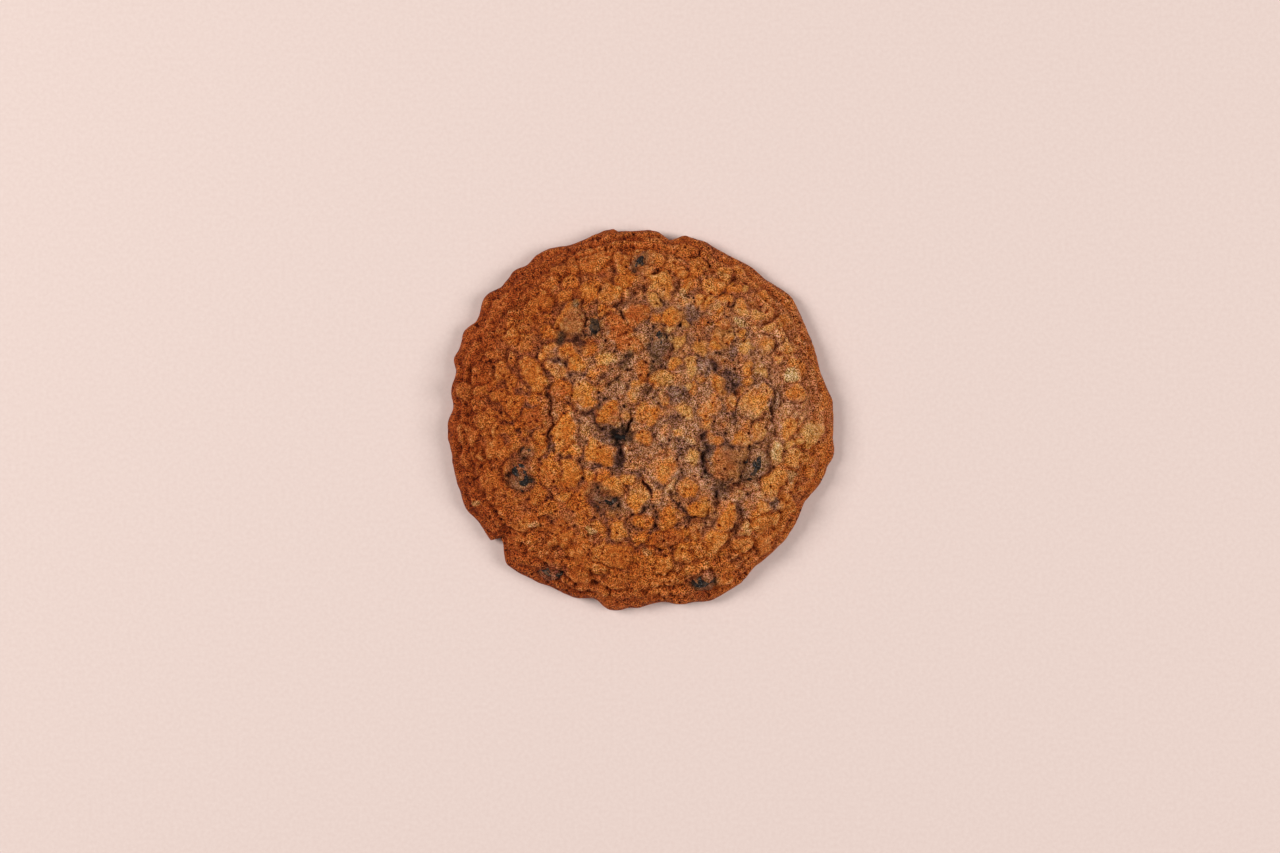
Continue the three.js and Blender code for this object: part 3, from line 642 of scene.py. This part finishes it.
def relief(x, y, share, radius):
    """How far the surface stands off the bare dome, with what the colours need to know."""
    rough_x = x + BEND * wave_field(bend_waves_x, x, y) + noise(x, y, WARP, 301)
    rough_y = y + BEND * wave_field(bend_waves_y, x, y) + noise(x, y, WARP, 331)
    torn_x = rough_x + noise(x, y, TEAR, 361)
    torn_y = rough_y + noise(x, y, TEAR, 381)
    inset = (1 - share) * radius
    at_rim = 1 - smooth(share, RIM_FADE, 1)

    rise, oat_facts = oat_rise(rough_x, rough_y)
    middle, least, most = CREVICE_LEVELS
    varied = np.clip(middle + noise(x, y, (1.2, 3), 391, 2), least, most)
    crevice = np.minimum(crevice_depth(torn_x, torn_y) * varied, CREVICE_LIMIT)
    crags = rise - VALLEY - crevice - raisin_sink(torn_x, torn_y)
    crags = crags * (1 + FLANK_GAIN * smooth(share, 0.45, 0.8))
    calm = 1 - (1 - CALM_LEVEL) * smooth(share, CALM_FROM, 1)
    swell = SWELL * wave_field(swell_waves, x, y) * (1 - share**SWELL_FADE)
    from_groove = (inset - GROOVE_INSET) / (GROOVE_WIDTH / 2)
    groove = np.exp(-from_groove * from_groove)
    ground = (crags * calm - GROOVE_DEPTH * groove) * at_rim + swell
    ground = np.where(ground > 0, LIMIT * np.tanh(ground / LIMIT), ground)

    grit, pore, grain = crumb(x, y)
    seam = SEAM_DEPTH * oat_facts["seam"]
    flake = strongest(patches(FLAKES, rough_x, rough_y, 0.8, 1.1))
    fine = (grit + grain) * (1 - FINE_CALM * smooth(share, CALM_FROM, 1)) - pore - seam
    fine = (fine + rim_wrinkles(x, y, inset)) * smooth(inset, 0, EDGE_FADE)
    film = FILM_STAND * (cloud(x, y, FILM_SIZE, 801) - FILM_BIAS)
    over = raisin_top(rough_x, rough_y) + np.maximum(film, -FILM_DIP)
    return {
        "off": np.maximum(ground + fine * (1 - FLAKE_CALM * flake) + FLAKE_STAND * flake, over),
        "flake": flake,
        "filmed": np.where(over > ground, 1.0, 0.0),
        "rise": rise * calm,
        **oat_facts,
        "crevice": crevice * at_rim,
        "grit": grit,
        "pore": pore,
        "groove": groove * at_rim,
    }


def blurred(field, reach):
    """A field on the map's grid smoothed over a reach in millimetres."""
    rows = np.fft.fftfreq(field.shape[0], MAP_STEP)[:, None]
    columns = np.fft.rfftfreq(field.shape[1], MAP_STEP)[None, :]
    keep = np.exp(-2 * (math.pi * reach) ** 2 * (rows**2 + columns**2))
    return np.fft.irfft2(np.fft.rfft2(field) * keep, s=field.shape)


def crest_maps():
    """Maps of how far the relief stands above its own surroundings, near and wide."""
    steps = np.arange(-MAP_HALF, MAP_HALF, MAP_STEP)
    x, y = np.meshgrid(steps, steps)
    flat_x = x.ravel()
    flat_y = y.ravel()
    share = share_at(flat_x, flat_y)
    radius = outline_radius(np.degrees(np.arctan2(flat_y, flat_x)))
    height = relief(flat_x, flat_y, share, radius)["off"].reshape(x.shape)
    return [height - blurred(height, reach) for reach in CREST_REACHES]


def read_map(field, x, y):
    """A map's value at points of the plan, between its grid's four nearest."""
    column = (x + MAP_HALF) / MAP_STEP
    row = (y + MAP_HALF) / MAP_STEP
    j = np.floor(column).astype(int)
    i = np.floor(row).astype(int)
    return among_four(lambda right, up: field[i + up, j + right], column - j, row - i)


def even_shares(count):
    """Shares of the radius in equal steps along the dome's section."""
    fine = np.linspace(0, 1, SECTION_POINTS)
    widest = max(r for _, r in OUTLINE)
    steps = np.hypot(np.diff(fine) * widest, np.diff(dome_height(fine)))
    lengths = np.concatenate([[0], np.cumsum(steps)])
    return np.interp(np.linspace(0, lengths[-1], count + 1), lengths, fine)


def ragged(angle):
    """Small seeded crumbs in the outline."""
    return noise(*polar(RAGGED_RADIUS, angle), RAGGED, 501, 2)


def top_points():
    """Arrays over all the top's points, from the widest line in to the middle."""
    shares = even_shares(TOP_RINGS)
    counts = [6 * k for k in range(TOP_RINGS, 0, -1)] + [1]
    share = np.concatenate([np.full(n, shares[k]) for n, k in zip(counts, range(TOP_RINGS, -1, -1))])
    angle = np.concatenate([np.arange(n) * 360 / n for n in counts])
    radius = outline_radius(angle) + ragged(angle)
    reach = reach_at(angle, share) + ragged(angle) * share**NOTCH_FADE
    x, y = polar(reach, angle)
    fall = np.where(share > 0, dome_fall(share, radius), 0)
    made = relief(x, y, share, radius)
    off = made["off"] / np.hypot(1, fall)
    made["at"] = (x, y)
    made["share"] = share
    aside_x, aside_y = polar(off * fall, angle)
    return np.stack([x + aside_x, y + aside_y, dome_height(share) + off], axis=1), counts, made


def edge_points():
    """The rounded edge below the widest line, from the underside up."""
    around = 6 * TOP_RINGS
    angle = np.arange(around) * 360 / around
    radius = outline_radius(angle) + ragged(angle)
    rings = []
    for k in range(EDGE_RINGS, 0, -1):
        bend = k / EDGE_RINGS * math.pi / 2
        x, y = polar(radius - UNDERCUT * (1 - math.cos(bend)), angle)
        height = np.full(around, RIM_HEIGHT * (1 - math.sin(bend)))
        rings.append(np.stack([x, y, height], axis=1))
    return rings


def under_points():
    """Rings of the flat underside, from the middle out, with small baked-in dimples."""
    rings = [np.zeros((1, 3))]
    for k in range(1, UNDER_RINGS + 1):
        angle = np.arange(6 * k) * 360 / (6 * k)
        outline = outline_radius(angle)
        reach = (outline - UNDERCUT - UNDER_MARGIN) * k / UNDER_RINGS
        x, y = polar(reach, angle)
        dimple = spots(x, y, *DIMPLES, 601) * smooth(outline - reach, 2.5, 5)
        rings.append(np.stack([x, y, dimple], axis=1))
    return rings


def stitch(n, m, lower_start, upper_start, triangles):
    """Triangles between two rings of n and m points, stepping along whichever lags."""
    i = 0
    j = 0
    while i < (n if n > 1 else 0) or j < (m if m > 1 else 0):
        step_lower = m == 1 or (n > 1 and (i + 0.5) / n <= (j + 0.5) / m)
        a = lower_start + i % n
        b = upper_start + j % m
        if step_lower and i < n:
            i += 1
            triangles.append((a, lower_start + i % n, b))
        else:
            j += 1
            triangles.append((a, upper_start + j % m, b))


def cookie_surface():
    """All points, triangles and the colour facts of the whole cookie, in millimetres."""
    top, top_counts, made = top_points()
    below = under_points() + edge_points()
    counts = [len(ring) for ring in below] + top_counts
    points = np.concatenate(below + [top])
    triangles = []
    start = 0
    for n, m in zip(counts, counts[1:]):
        stitch(n, m, start, start + n, triangles)
        start += n
    return points, triangles, made, len(points) - len(top)


def place(data):
    """An object in the scene that holds a mesh, a lamp or a camera and has its name."""
    holder = bpy.data.objects.new(data.name, data)
    bpy.context.scene.collection.objects.link(holder)
    return holder


def new_piece(mesh):
    """A smooth-shaded object that holds a mesh."""
    mesh.polygons.foreach_set("use_smooth", np.ones(len(mesh.polygons), dtype=bool))
    return place(mesh)


def new_mesh(name, points, triangles):
    """A mesh made of points in millimetres."""
    mesh = bpy.data.meshes.new(name)
    mesh.from_pydata([tuple(p) for p in points * MM], [], triangles)
    mesh.validate()
    return mesh


def set_attribute(piece, name, values):
    layer = piece.data.attributes.new(name, "FLOAT", "POINT")
    layer.data.foreach_set("value", np.ascontiguousarray(values, dtype=np.float32))


def plain_linear(red, green, blue):
    """Display values from 0 to 255 as the linear colour that a shader takes."""
    levels = [c / 255 for c in (red, green, blue)]
    return [c / 12.92 if c <= 0.04045 else ((c + 0.055) / 1.055) ** 2.4 for c in levels] + [1]


class Tree:
    """A material's node tree, with a short way to add each kind of node."""

    def __init__(self, name):
        self.material = bpy.data.materials.new(name)
        self.material.use_nodes = True
        self.nodes = self.material.node_tree.nodes
        self.links = self.material.node_tree.links
        self.shader = self.nodes["Principled BSDF"]
        self.place = self.nodes.new("ShaderNodeTexCoord").outputs["Object"]

    def plug(self, socket, value):
        if isinstance(value, bpy.types.NodeSocket):
            self.links.new(value, socket)
        else:
            socket.default_value = value

    def add(self, kind, sockets, output, **settings):
        """A new node's output, once its settings are made and its sockets are plugged."""
        node = self.nodes.new(f"ShaderNode{kind}")
        for name, value in settings.items():
            setattr(node, name, value)
        for name, value in sockets.items():
            self.plug(node.inputs[name], value)
        return node.outputs[output]

    def attribute(self, name):
        return self.add("Attribute", {}, "Fac", attribute_name=name)

    def noise(self, size, detail=2.0, rough=0.5):
        """Noise about 0.5 with features of a size in millimetres."""
        sockets = {"Scale": 1 / (size * MM), "Detail": detail, "Roughness": rough, "Vector": self.place}
        return self.add("TexNoise", sockets, "Fac")

    def mix(self, factor, first, second, blend="MIX"):
        sockets = {"Factor": factor, "A": first, "B": second}
        return self.add("Mix", sockets, "Result", data_type="RGBA", blend_type=blend)

    def math(self, operation, first, second):
        return self.add("Math", {0: first, 1: second}, 0, operation=operation)

    def span(self, value, low, high, to_low=0.0, to_high=1.0):
        """A value's range mapped to another and held inside it."""
        limits = {"From Min": low, "From Max": high, "To Min": to_low, "To Max": to_high}
        return self.add("MapRange", {"Value": value, **limits}, "Result")

    def ramp(self, factor, stops):
        """Display colours along a factor, each with its place."""
        node = self.nodes.new("ShaderNodeValToRGB")
        elements = node.color_ramp.elements
        while len(elements) < len(stops):
            elements.new(0.5)
        for element, (at, colour) in zip(elements, stops):
            element.position = at
            element.color = plain_linear(*colour)
        self.plug(node.inputs["Fac"], factor)
        return node.outputs["Color"]

    def tones(self, factor, colours):
        """Display colours in even steps along a factor."""
        last = len(colours) - 1
        return self.ramp(factor, [(k / last, colour) for k, colour in enumerate(colours)])

    def grains(self, fine):
        """A factor for dark grains that keep their colour and pale ones that lose some of it."""
        level = self.span(fine, *GRAIN_RANGE)
        late = self.math("POWER", level, GRAIN_LAG)
        red = self.span(level, 0, 1, *GRAIN_RED)
        green = self.span(level, 0, 1, *GRAIN_GREEN)
        blue = self.span(late, 0, 1, *GRAIN_BLUE)
        return self.add("CombineColor", {"Red": red, "Green": green, "Blue": blue}, "Color")

    def bump(self, height, strength, reach):
        """Shading relief: reach in millimetres is what a height of 1 stands up."""
        sockets = {"Strength": strength, "Distance": reach * MM, "Height": height}
        self.plug(self.shader.inputs["Normal"], self.add("Bump", sockets, "Normal"))

    def finish(self, colour, roughness, specular):
        self.plug(self.shader.inputs["Base Color"], colour)
        self.plug(self.shader.inputs["Roughness"], roughness)
        self.shader.inputs["Specular IOR Level"].default_value = specular
        return self.material


# Display colours of the dough in even steps from its darkest pits to its palest grains
WARM_TONES = [(116, 38, 3), (160, 66, 13), (199, 98, 28), (219, 125, 46), (236, 156, 78)]
PLAIN_TONES = [(92, 45, 23), (137, 79, 46), (177, 112, 71), (203, 142, 100), (226, 172, 130)]

# What covers the dough in turn, each by an attribute of its name
COVER_TONES = {
    "rim": [(90, 24, 3), (130, 46, 10), (168, 73, 24), (196, 101, 43), (218, 134, 74)],
    "gold": [(126, 62, 12), (172, 98, 30), (208, 128, 50), (222, 148, 68), (236, 176, 102)],
    # The stain tones also paint the shade in the crown's hollows
    "stain_and_shade": [(66, 38, 28), (98, 60, 46), (138, 89, 65), (165, 117, 89), (192, 147, 117)],
    "smudge": [(30, 18, 11), (64, 40, 25), (98, 63, 39), (132, 91, 57), (168, 126, 82)],
    "flake": [(150, 94, 44), (214, 158, 94), (242, 204, 146)],
}

# Fine grains multiply these tones: the noise that they span, and the factors at its darkest and palest
GRAIN_RANGE = (0.39, 0.61)
GRAIN_RED = (0.14, 1.66)
GRAIN_GREEN = (0.05, 1.88)
GRAIN_BLUE = (0.0, 3.0)
GRAIN_LAG = 2.2  # power by which the blue lags behind


def dough_material():
    """One scale of browning for the dough over the oats and one, greyer, for the plain dough."""
    tree = Tree("dough")
    coarse = tree.noise(2.8, 3)
    medium = tree.noise(0.9, 2)
    fine = tree.noise(0.27, 1)
    tone = tree.math("ADD", tree.attribute("tone"), tree.span(coarse, 0.3, 0.7, -0.1, 0.1))
    tone = tree.math("ADD", tone, tree.span(medium, 0.25, 0.75, -0.2, 0.2))
    toast = tree.math("ADD", tree.attribute("toast"), tree.span(coarse, 0.35, 0.65, -0.35, 0.35))
    base = tree.mix(tree.span(toast, 0.0, 1.0), tree.tones(tone, PLAIN_TONES), tree.tones(tone, WARM_TONES))
    for name, colours in COVER_TONES.items():
        base = tree.mix(tree.attribute(name), base, tree.tones(tone, colours))
    grains = tree.mix(tree.attribute("grain"), (1, 1, 1, 1), tree.grains(fine))
    base = tree.mix(1.0, base, grains, "MULTIPLY")
    height = tree.math("ADD", tree.span(medium, 0.2, 0.8, 0.0, 1.4), tree.span(fine, 0.2, 0.8))
    tree.bump(height, strength=1.0, reach=0.3)
    return tree.finish(base, roughness=tree.span(fine, 0.3, 0.7, 0.62, 0.85), specular=0.12)


def raisin_material():
    """Near-black wrinkled skin under a broken smear of dough, with painted glints on the skin and painted
    shade on deep raisins.
    """
    tree = Tree("raisin")
    coarse = tree.noise(1.8, 3)
    fine = tree.noise(0.5, 2)
    skin = tree.ramp(coarse, [(0.35, (10, 7, 5)), (0.5, (26, 17, 12)), (0.68, (64, 45, 33))])
    smear = tree.ramp(fine, [(0.3, (50, 32, 20)), (0.7, (112, 78, 50))])
    # Painted glints: pale grey specks on the skin
    painted_glints = tree.span(tree.noise(0.34, 1), 0.6, 0.68, 0.0, 0.5)
    skin = tree.mix(painted_glints, skin, tree.ramp(fine, [(0.4, (92, 84, 78)), (0.6, (150, 140, 132))]))
    cover = tree.math("ADD", tree.noise(0.9, 4, 0.7), tree.attribute("smear"))
    film = tree.mix(tree.span(cover, 0.55, 0.64), skin, smear)
    film = tree.mix(0.35, film, tree.mix(1.0, film, tree.grains(tree.noise(0.3, 1)), "MULTIPLY"))
    # Painted shade: deep raisins are mixed near black
    film = tree.mix(tree.attribute("deep"), film, (0.004, 0.002, 0.0015, 1))
    tree.bump(fine, strength=0.8, reach=0.3)
    return tree.finish(film, roughness=tree.span(fine, 0.3, 0.7, 0.4, 0.7), specular=0.2)


def paper_material():
    """Pale matt paper with a faint fibre."""
    tree = Tree("paper")
    fibre = tree.noise(0.9, 3)
    tree.bump(fibre, strength=0.25, reach=0.08)
    colour = tree.ramp(fibre, [(0.3, (234, 211, 202)), (0.7, (239, 217, 208))])
    return tree.finish(colour, roughness=0.9, specular=0.1)


# How light the dough is, and what each part of the relief adds to that or takes away; the darkening in
# seams, crevices, pores and the groove is painted shade
TONE_LEVEL = 0.585
TONE_WEIGHTS = {"lump": 0.045, "seam": -0.22, "crevice": -0.08, "pore": -0.7, "grit": 0.1}
TONE_WEIGHTS |= {"shading": 0.06, "groove": -0.05, "veil": -0.1}
# Painted shade in hollows and painted light on crests, from the crest maps: weight, limits
CREST_PAINTED_LIGHT_AND_SHADE = {"near": (0.32, -0.6, 0.45), "wide": (0.12, -1.0, 0.5)}  # weight, limits
# The last step darkens the edge as painted shade, where the rim turns away from the light
TONE_STEPS = [(-0.04, 0.3, 0.6), (0.05, 0.65, 0.85), (-0.14, 0.9, 1)]  # weight, span of the radius

# The rim is palest towards this bearing, and the crown has browned least at this spot
PALE_BEARING = 5
PALE_WEIGHTS = (0.13, 0.07)  # on the pale side and on the dark one
PALE_SPOT = (12, 4)

# Noise at the edges of the listed patches
PATCH_TEAR = (1.3, 2.6)

# Stains, the painted shade in the crown's hollows, and smudges: what noise adds, and what lumps and films
# take away
STAIN_LEVEL = 1.5
STAIN_LUMP = 0.75
SMUDGE_LUMP = 0.6
SMUDGE_FILM = 0.5
HOLLOW_SHADE_LEVEL = 0.5
OVER_FRUIT = 0.5

# Browning: base levels, what a lump adds, and how much of each there is where the dough is baked
TOAST_LEVEL = 0.07
TOAST_LUMP = 0.95
TOAST_BAKED = 0.8
GOLD_LEVEL = 0.8
GOLD_FADE = 0.8
RIM_BAKED = 0.6
RIM_LEVEL = 0.85
RIM_PALE = 0.3
GRAIN_LEVEL = 0.92
GRAIN_LUMP = 0.25

# The same attributes on the edge and the underside, where the others are 0
UNDER_FACTS = {"rim": 0.8, "tone": 0.42, "toast": 0.7, "grain": 0.9}


def stain_fact(made):
    """How purple-grey the dough is: in the listed patches and over fruit, and as painted shade in the
    crown's hollows.
    """
    bare = 1 - STAIN_LUMP * made["lump"]
    juice = strongest(patches(STAINS, *made["torn"], 0.4, 1.3))
    juice = juice * bare * (STAIN_LEVEL + noise(*made["at"], (0.9, 2.5), 701))
    # Painted shade: the crown's hollows turn purple-grey
    hollow_shade = smooth(-made["wide"], 0.1, 0.7) * (1 - smooth(made["share"], 0.5, 0.85))
    hollow_shade = hollow_shade * bare * (HOLLOW_SHADE_LEVEL + noise(*made["at"], (0.6, 4), 771))
    return strongest([juice, hollow_shade, OVER_FRUIT * made["veil"], OVER_FRUIT * made["filmed"]])


def smudge_fact(made):
    """How grey-green the dough is over buried fruit."""
    smudge = strongest(patches(SMUDGES, *made["torn"], 0.4, 1.3))
    smudge = smudge * (1 - SMUDGE_LUMP * made["lump"]) * (1 - SMUDGE_FILM * made["filmed"])
    return smudge * (1 + noise(*made["at"], (0.9, 1.8), 711))


def tone_fact(made, pale_side):
    """How light the dough is, with painted shade in seams, crevices, pores, hollows, the groove, the pit
    over the deep raisin and at the edge, and painted light on crests.
    """
    # Seams, crevices, pores and the groove darken the tone as painted shade
    tone = TONE_LEVEL + sum(weight * made[name] for name, weight in TONE_WEIGHTS.items())
    # Painted shade in hollows and painted light on crests
    for name, (weight, *limits) in CREST_PAINTED_LIGHT_AND_SHADE.items():
        tone = tone + weight * np.clip(made[name], *limits)
    tone = tone + noise(*made["at"], (0.1, 6), 761)
    tone = tone + sum(patches(SHADES, *made["torn"], 0.3, 1.3))
    # The last of these steps is painted shade at the edge
    tone = tone + sum(weight * smooth(made["share"], *span) for weight, *span in TONE_STEPS)
    return tone + np.where(pale_side > 0, *PALE_WEIGHTS) * pale_side


def browning_facts(made, pale_side):
    """How toasted the dough is, and how golden and rusty."""
    x, y = made["at"]
    lump = made["lump"]
    browning = made["browning"]
    from_spot = np.hypot(x - PALE_SPOT[0], y - PALE_SPOT[1]) + noise(x, y, (3, 9), 741)
    baked = smooth(from_spot, 10, 50)
    toast = TOAST_LEVEL + TOAST_LUMP * lump * smooth(browning, 0.0, 0.5)
    toast = toast + TOAST_BAKED * smooth(baked, 0.12, 0.8) + noise(x, y, (0.5, 4), 791)
    gold = GOLD_LEVEL * lump * smooth(browning, 0.5, 0.1) * (1 - GOLD_FADE * smooth(baked, 0.25, 0.8))
    rim = smooth(made["share"] + noise(x, y, (0.04, 5), 731), 0.6, 0.98)
    rim = np.maximum(rim, RIM_BAKED * smooth(baked, 0.4, 0.95)) * (RIM_LEVEL - RIM_PALE * pale_side)
    return toast, {"gold": gold, "rim": np.maximum(rim, lump * smooth(browning, 0.55, 0.9))}


def colour_facts(made):
    """Attributes that steer the dough's colours, each but tone and toast from 0 to 1."""
    x, y = made["at"]
    made["lump"] = made["core"] * smooth(made["rise"], 0.2, 0.9)
    made["near"], made["wide"] = (read_map(field, x, y) for field in crest_maps())
    made["torn"] = (x + noise(x, y, PATCH_TEAR, 681), y + noise(x, y, PATCH_TEAR, 691))
    made["veil"] = strongest(patches(VEILS, x, y, 0.7, 1.2, noise(x, y, (0.2, 3), 721)))
    pale_side = np.cos(np.arctan2(y, x) - math.radians(PALE_BEARING)) * smooth(made["share"], 0.45, 0.9)
    toast, browned = browning_facts(made, pale_side)
    shares = {
        **browned,
        "stain_and_shade": stain_fact(made),
        "smudge": smudge_fact(made),
        "flake": made["flake"],
        "grain": GRAIN_LEVEL - GRAIN_LUMP * made["lump"] + noise(x, y, (0.35, 4), 751),
    }
    clipped = {name: np.clip(values, 0, 1) for name, values in shares.items()}
    return {"tone": tone_fact(made, pale_side), "toast": toast, **clipped}


def plan_shift():
    """The move that centres the plan's box on the origin."""
    angles = np.arange(0, 360, 0.25)
    x, y = polar(outline_radius(angles), angles)
    return np.array([-(x.min() + x.max()) / 2, -(y.min() + y.max()) / 2, 0])


shift = plan_shift()


def make_cookie():
    points, triangles, made, below = cookie_surface()
    piece = new_piece(new_mesh("cookie_dough", points + shift, triangles))
    for name, values in colour_facts(made).items():
        set_attribute(piece, name, np.concatenate([np.full(below, UNDER_FACTS.get(name, 0.0)), values]))
    piece.data.materials.append(dough_material())
    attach(piece, "root")
    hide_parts("cookie")


def raisin_size(number, p):
    """How far out the skin of a raisin lies along a direction: folded lengthwise and creased all over."""
    folds, twist, fold_depth = RAISIN_FOLDS
    creases, sway, sway_rate, crease_depth = RAISIN_CREASES
    round_angle = math.atan2(p.z, p.y)
    keep = 1 - p.x * p.x
    fold = math.sin(folds * round_angle + twist * p.x) * keep
    crease = abs(math.sin(creases * round_angle + sway * math.sin(sway_rate * p.x + number) + number))
    return 1 + fold_depth * fold - crease_depth * (1 - crease) ** 2 * keep


def raisin_place(raisin):
    """Where a raisin stands in the dough, tipped with the dome's slope, in millimetres."""
    x, y, _, _, height, angle, stand, _ = raisin
    bearing = math.atan2(y, x)
    radius = float(outline_radius(np.array([math.degrees(bearing)]))[0])
    share = float(share_at(np.array([x]), np.array([y]))[0])
    slope = math.atan(float(dome_fall(np.array([share]), radius)[0]))
    tip = Matrix.Rotation(slope, 4, Vector((-math.sin(bearing), math.cos(bearing), 0)))
    spin = Matrix.Rotation(math.radians(angle), 4, "Z")
    outward = tip @ Vector((0, 0, stand - height / 2))
    centre = Vector((x, y, float(dome_height(share)))) + outward + Vector(shift)
    return Matrix.Translation(centre) @ tip @ spin


def raisin_mesh(number, raisin):
    """A raisin as a ball drawn out to its size and wrinkled."""
    _, _, length, width, height, _, _, _ = raisin
    mesh = bpy.data.meshes.new(f"raisin_skin_{number}")
    ball = bmesh.new()
    bmesh.ops.create_icosphere(ball, subdivisions=RAISIN_DETAIL, radius=1)
    for vertex in ball.verts:
        p = vertex.co.normalized()
        half = raisin_size(number, p) / 2
        vertex.co = Vector((p.x * half * length, p.y * half * width, p.z * half * height))
    ball.to_mesh(mesh)
    ball.free()
    mesh.transform(Matrix.Scale(MM, 4) @ raisin_place(raisin))
    return mesh


def make_raisins():
    material = raisin_material()
    for number, raisin in enumerate(RAISINS, start=1):
        *_, stand, smear = raisin
        piece = new_piece(raisin_mesh(number, raisin))
        piece.data.materials.append(material)
        skin_points = len(piece.data.vertices)
        # Painted shade for raisins that stand deep
        set_attribute(piece, "deep", np.full(skin_points, PAINTED_DEEP_SHADE if stand < DEEP_STAND else 0.0))
        set_attribute(piece, "smear", np.full(skin_points, smear))
        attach(piece, "root")
        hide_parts(f"raisin_{number}")


def make_floor():
    """A sheet of paper that reaches 1.5 metres to every side."""
    half = 1500
    points = np.array([[-half, -half, 0], [half, -half, 0], [half, half, 0], [-half, half, 0]], dtype=float)
    floor = new_piece(new_mesh("paper_floor", points, [(0, 1, 2), (0, 2, 3)]))
    floor.data.materials.append(paper_material())


def area_light(name, bearing, elevation, distance, size, power):
    """A soft square lamp that looks at the cookie from a bearing round +X and an elevation."""
    lamp = bpy.data.lights.new(name, "AREA")
    lamp.shape = "SQUARE"
    lamp.size = size
    lamp.energy = power
    turn = math.radians(bearing)
    lift = math.radians(elevation)
    way = Vector((math.cos(turn) * math.cos(lift), math.sin(turn) * math.cos(lift), math.sin(lift)))
    holder = place(lamp)
    holder.location = way * distance
    holder.rotation_euler = (-way).to_track_quat("-Z", "Y").to_euler()


def make_light():
    """Two soft lamps on opposite sides and a pale room."""
    area_light("key", bearing=166, elevation=45, distance=1.2, size=0.5, power=9.3)
    area_light("fill", bearing=-4, elevation=45, distance=1.2, size=0.6, power=7.4)
    world = bpy.data.worlds.new("soft_room")
    world.use_nodes = True
    background = world.node_tree.nodes["Background"]
    background.inputs["Color"].default_value = (1.0, 1.0, 1.0, 1)
    background.inputs["Strength"].default_value = 0.22
    bpy.context.scene.world = world
    bpy.context.scene.view_settings.view_transform = "Standard"


# The photo's size and the cookie's middle in it, in pixels, and what a pixel spans
PHOTO_SIZE = (1280, 853)
PHOTO_MIDDLE = (641, 419)
PIXEL = 0.2308
LENS = 85
SENSOR = 36


def make_camera():
    """A camera straight above, which frames the cookie as the photo does."""
    camera = bpy.data.cameras.new("camera")
    camera.lens = LENS
    camera.sensor_width = SENSOR
    holder = place(camera)
    width, height = PHOTO_SIZE
    distance = width * PIXEL * LENS / SENSOR
    across = (width / 2 - PHOTO_MIDDLE[0]) * PIXEL + shift[0]
    up = (PHOTO_MIDDLE[1] - height / 2) * PIXEL + shift[1]
    holder.location = (across * MM, up * MM, (distance + CROWN_HEIGHT / 2) * MM)
    bpy.context.scene.camera = holder


make_camera()
make_cookie()
make_raisins()
make_floor()
make_light()
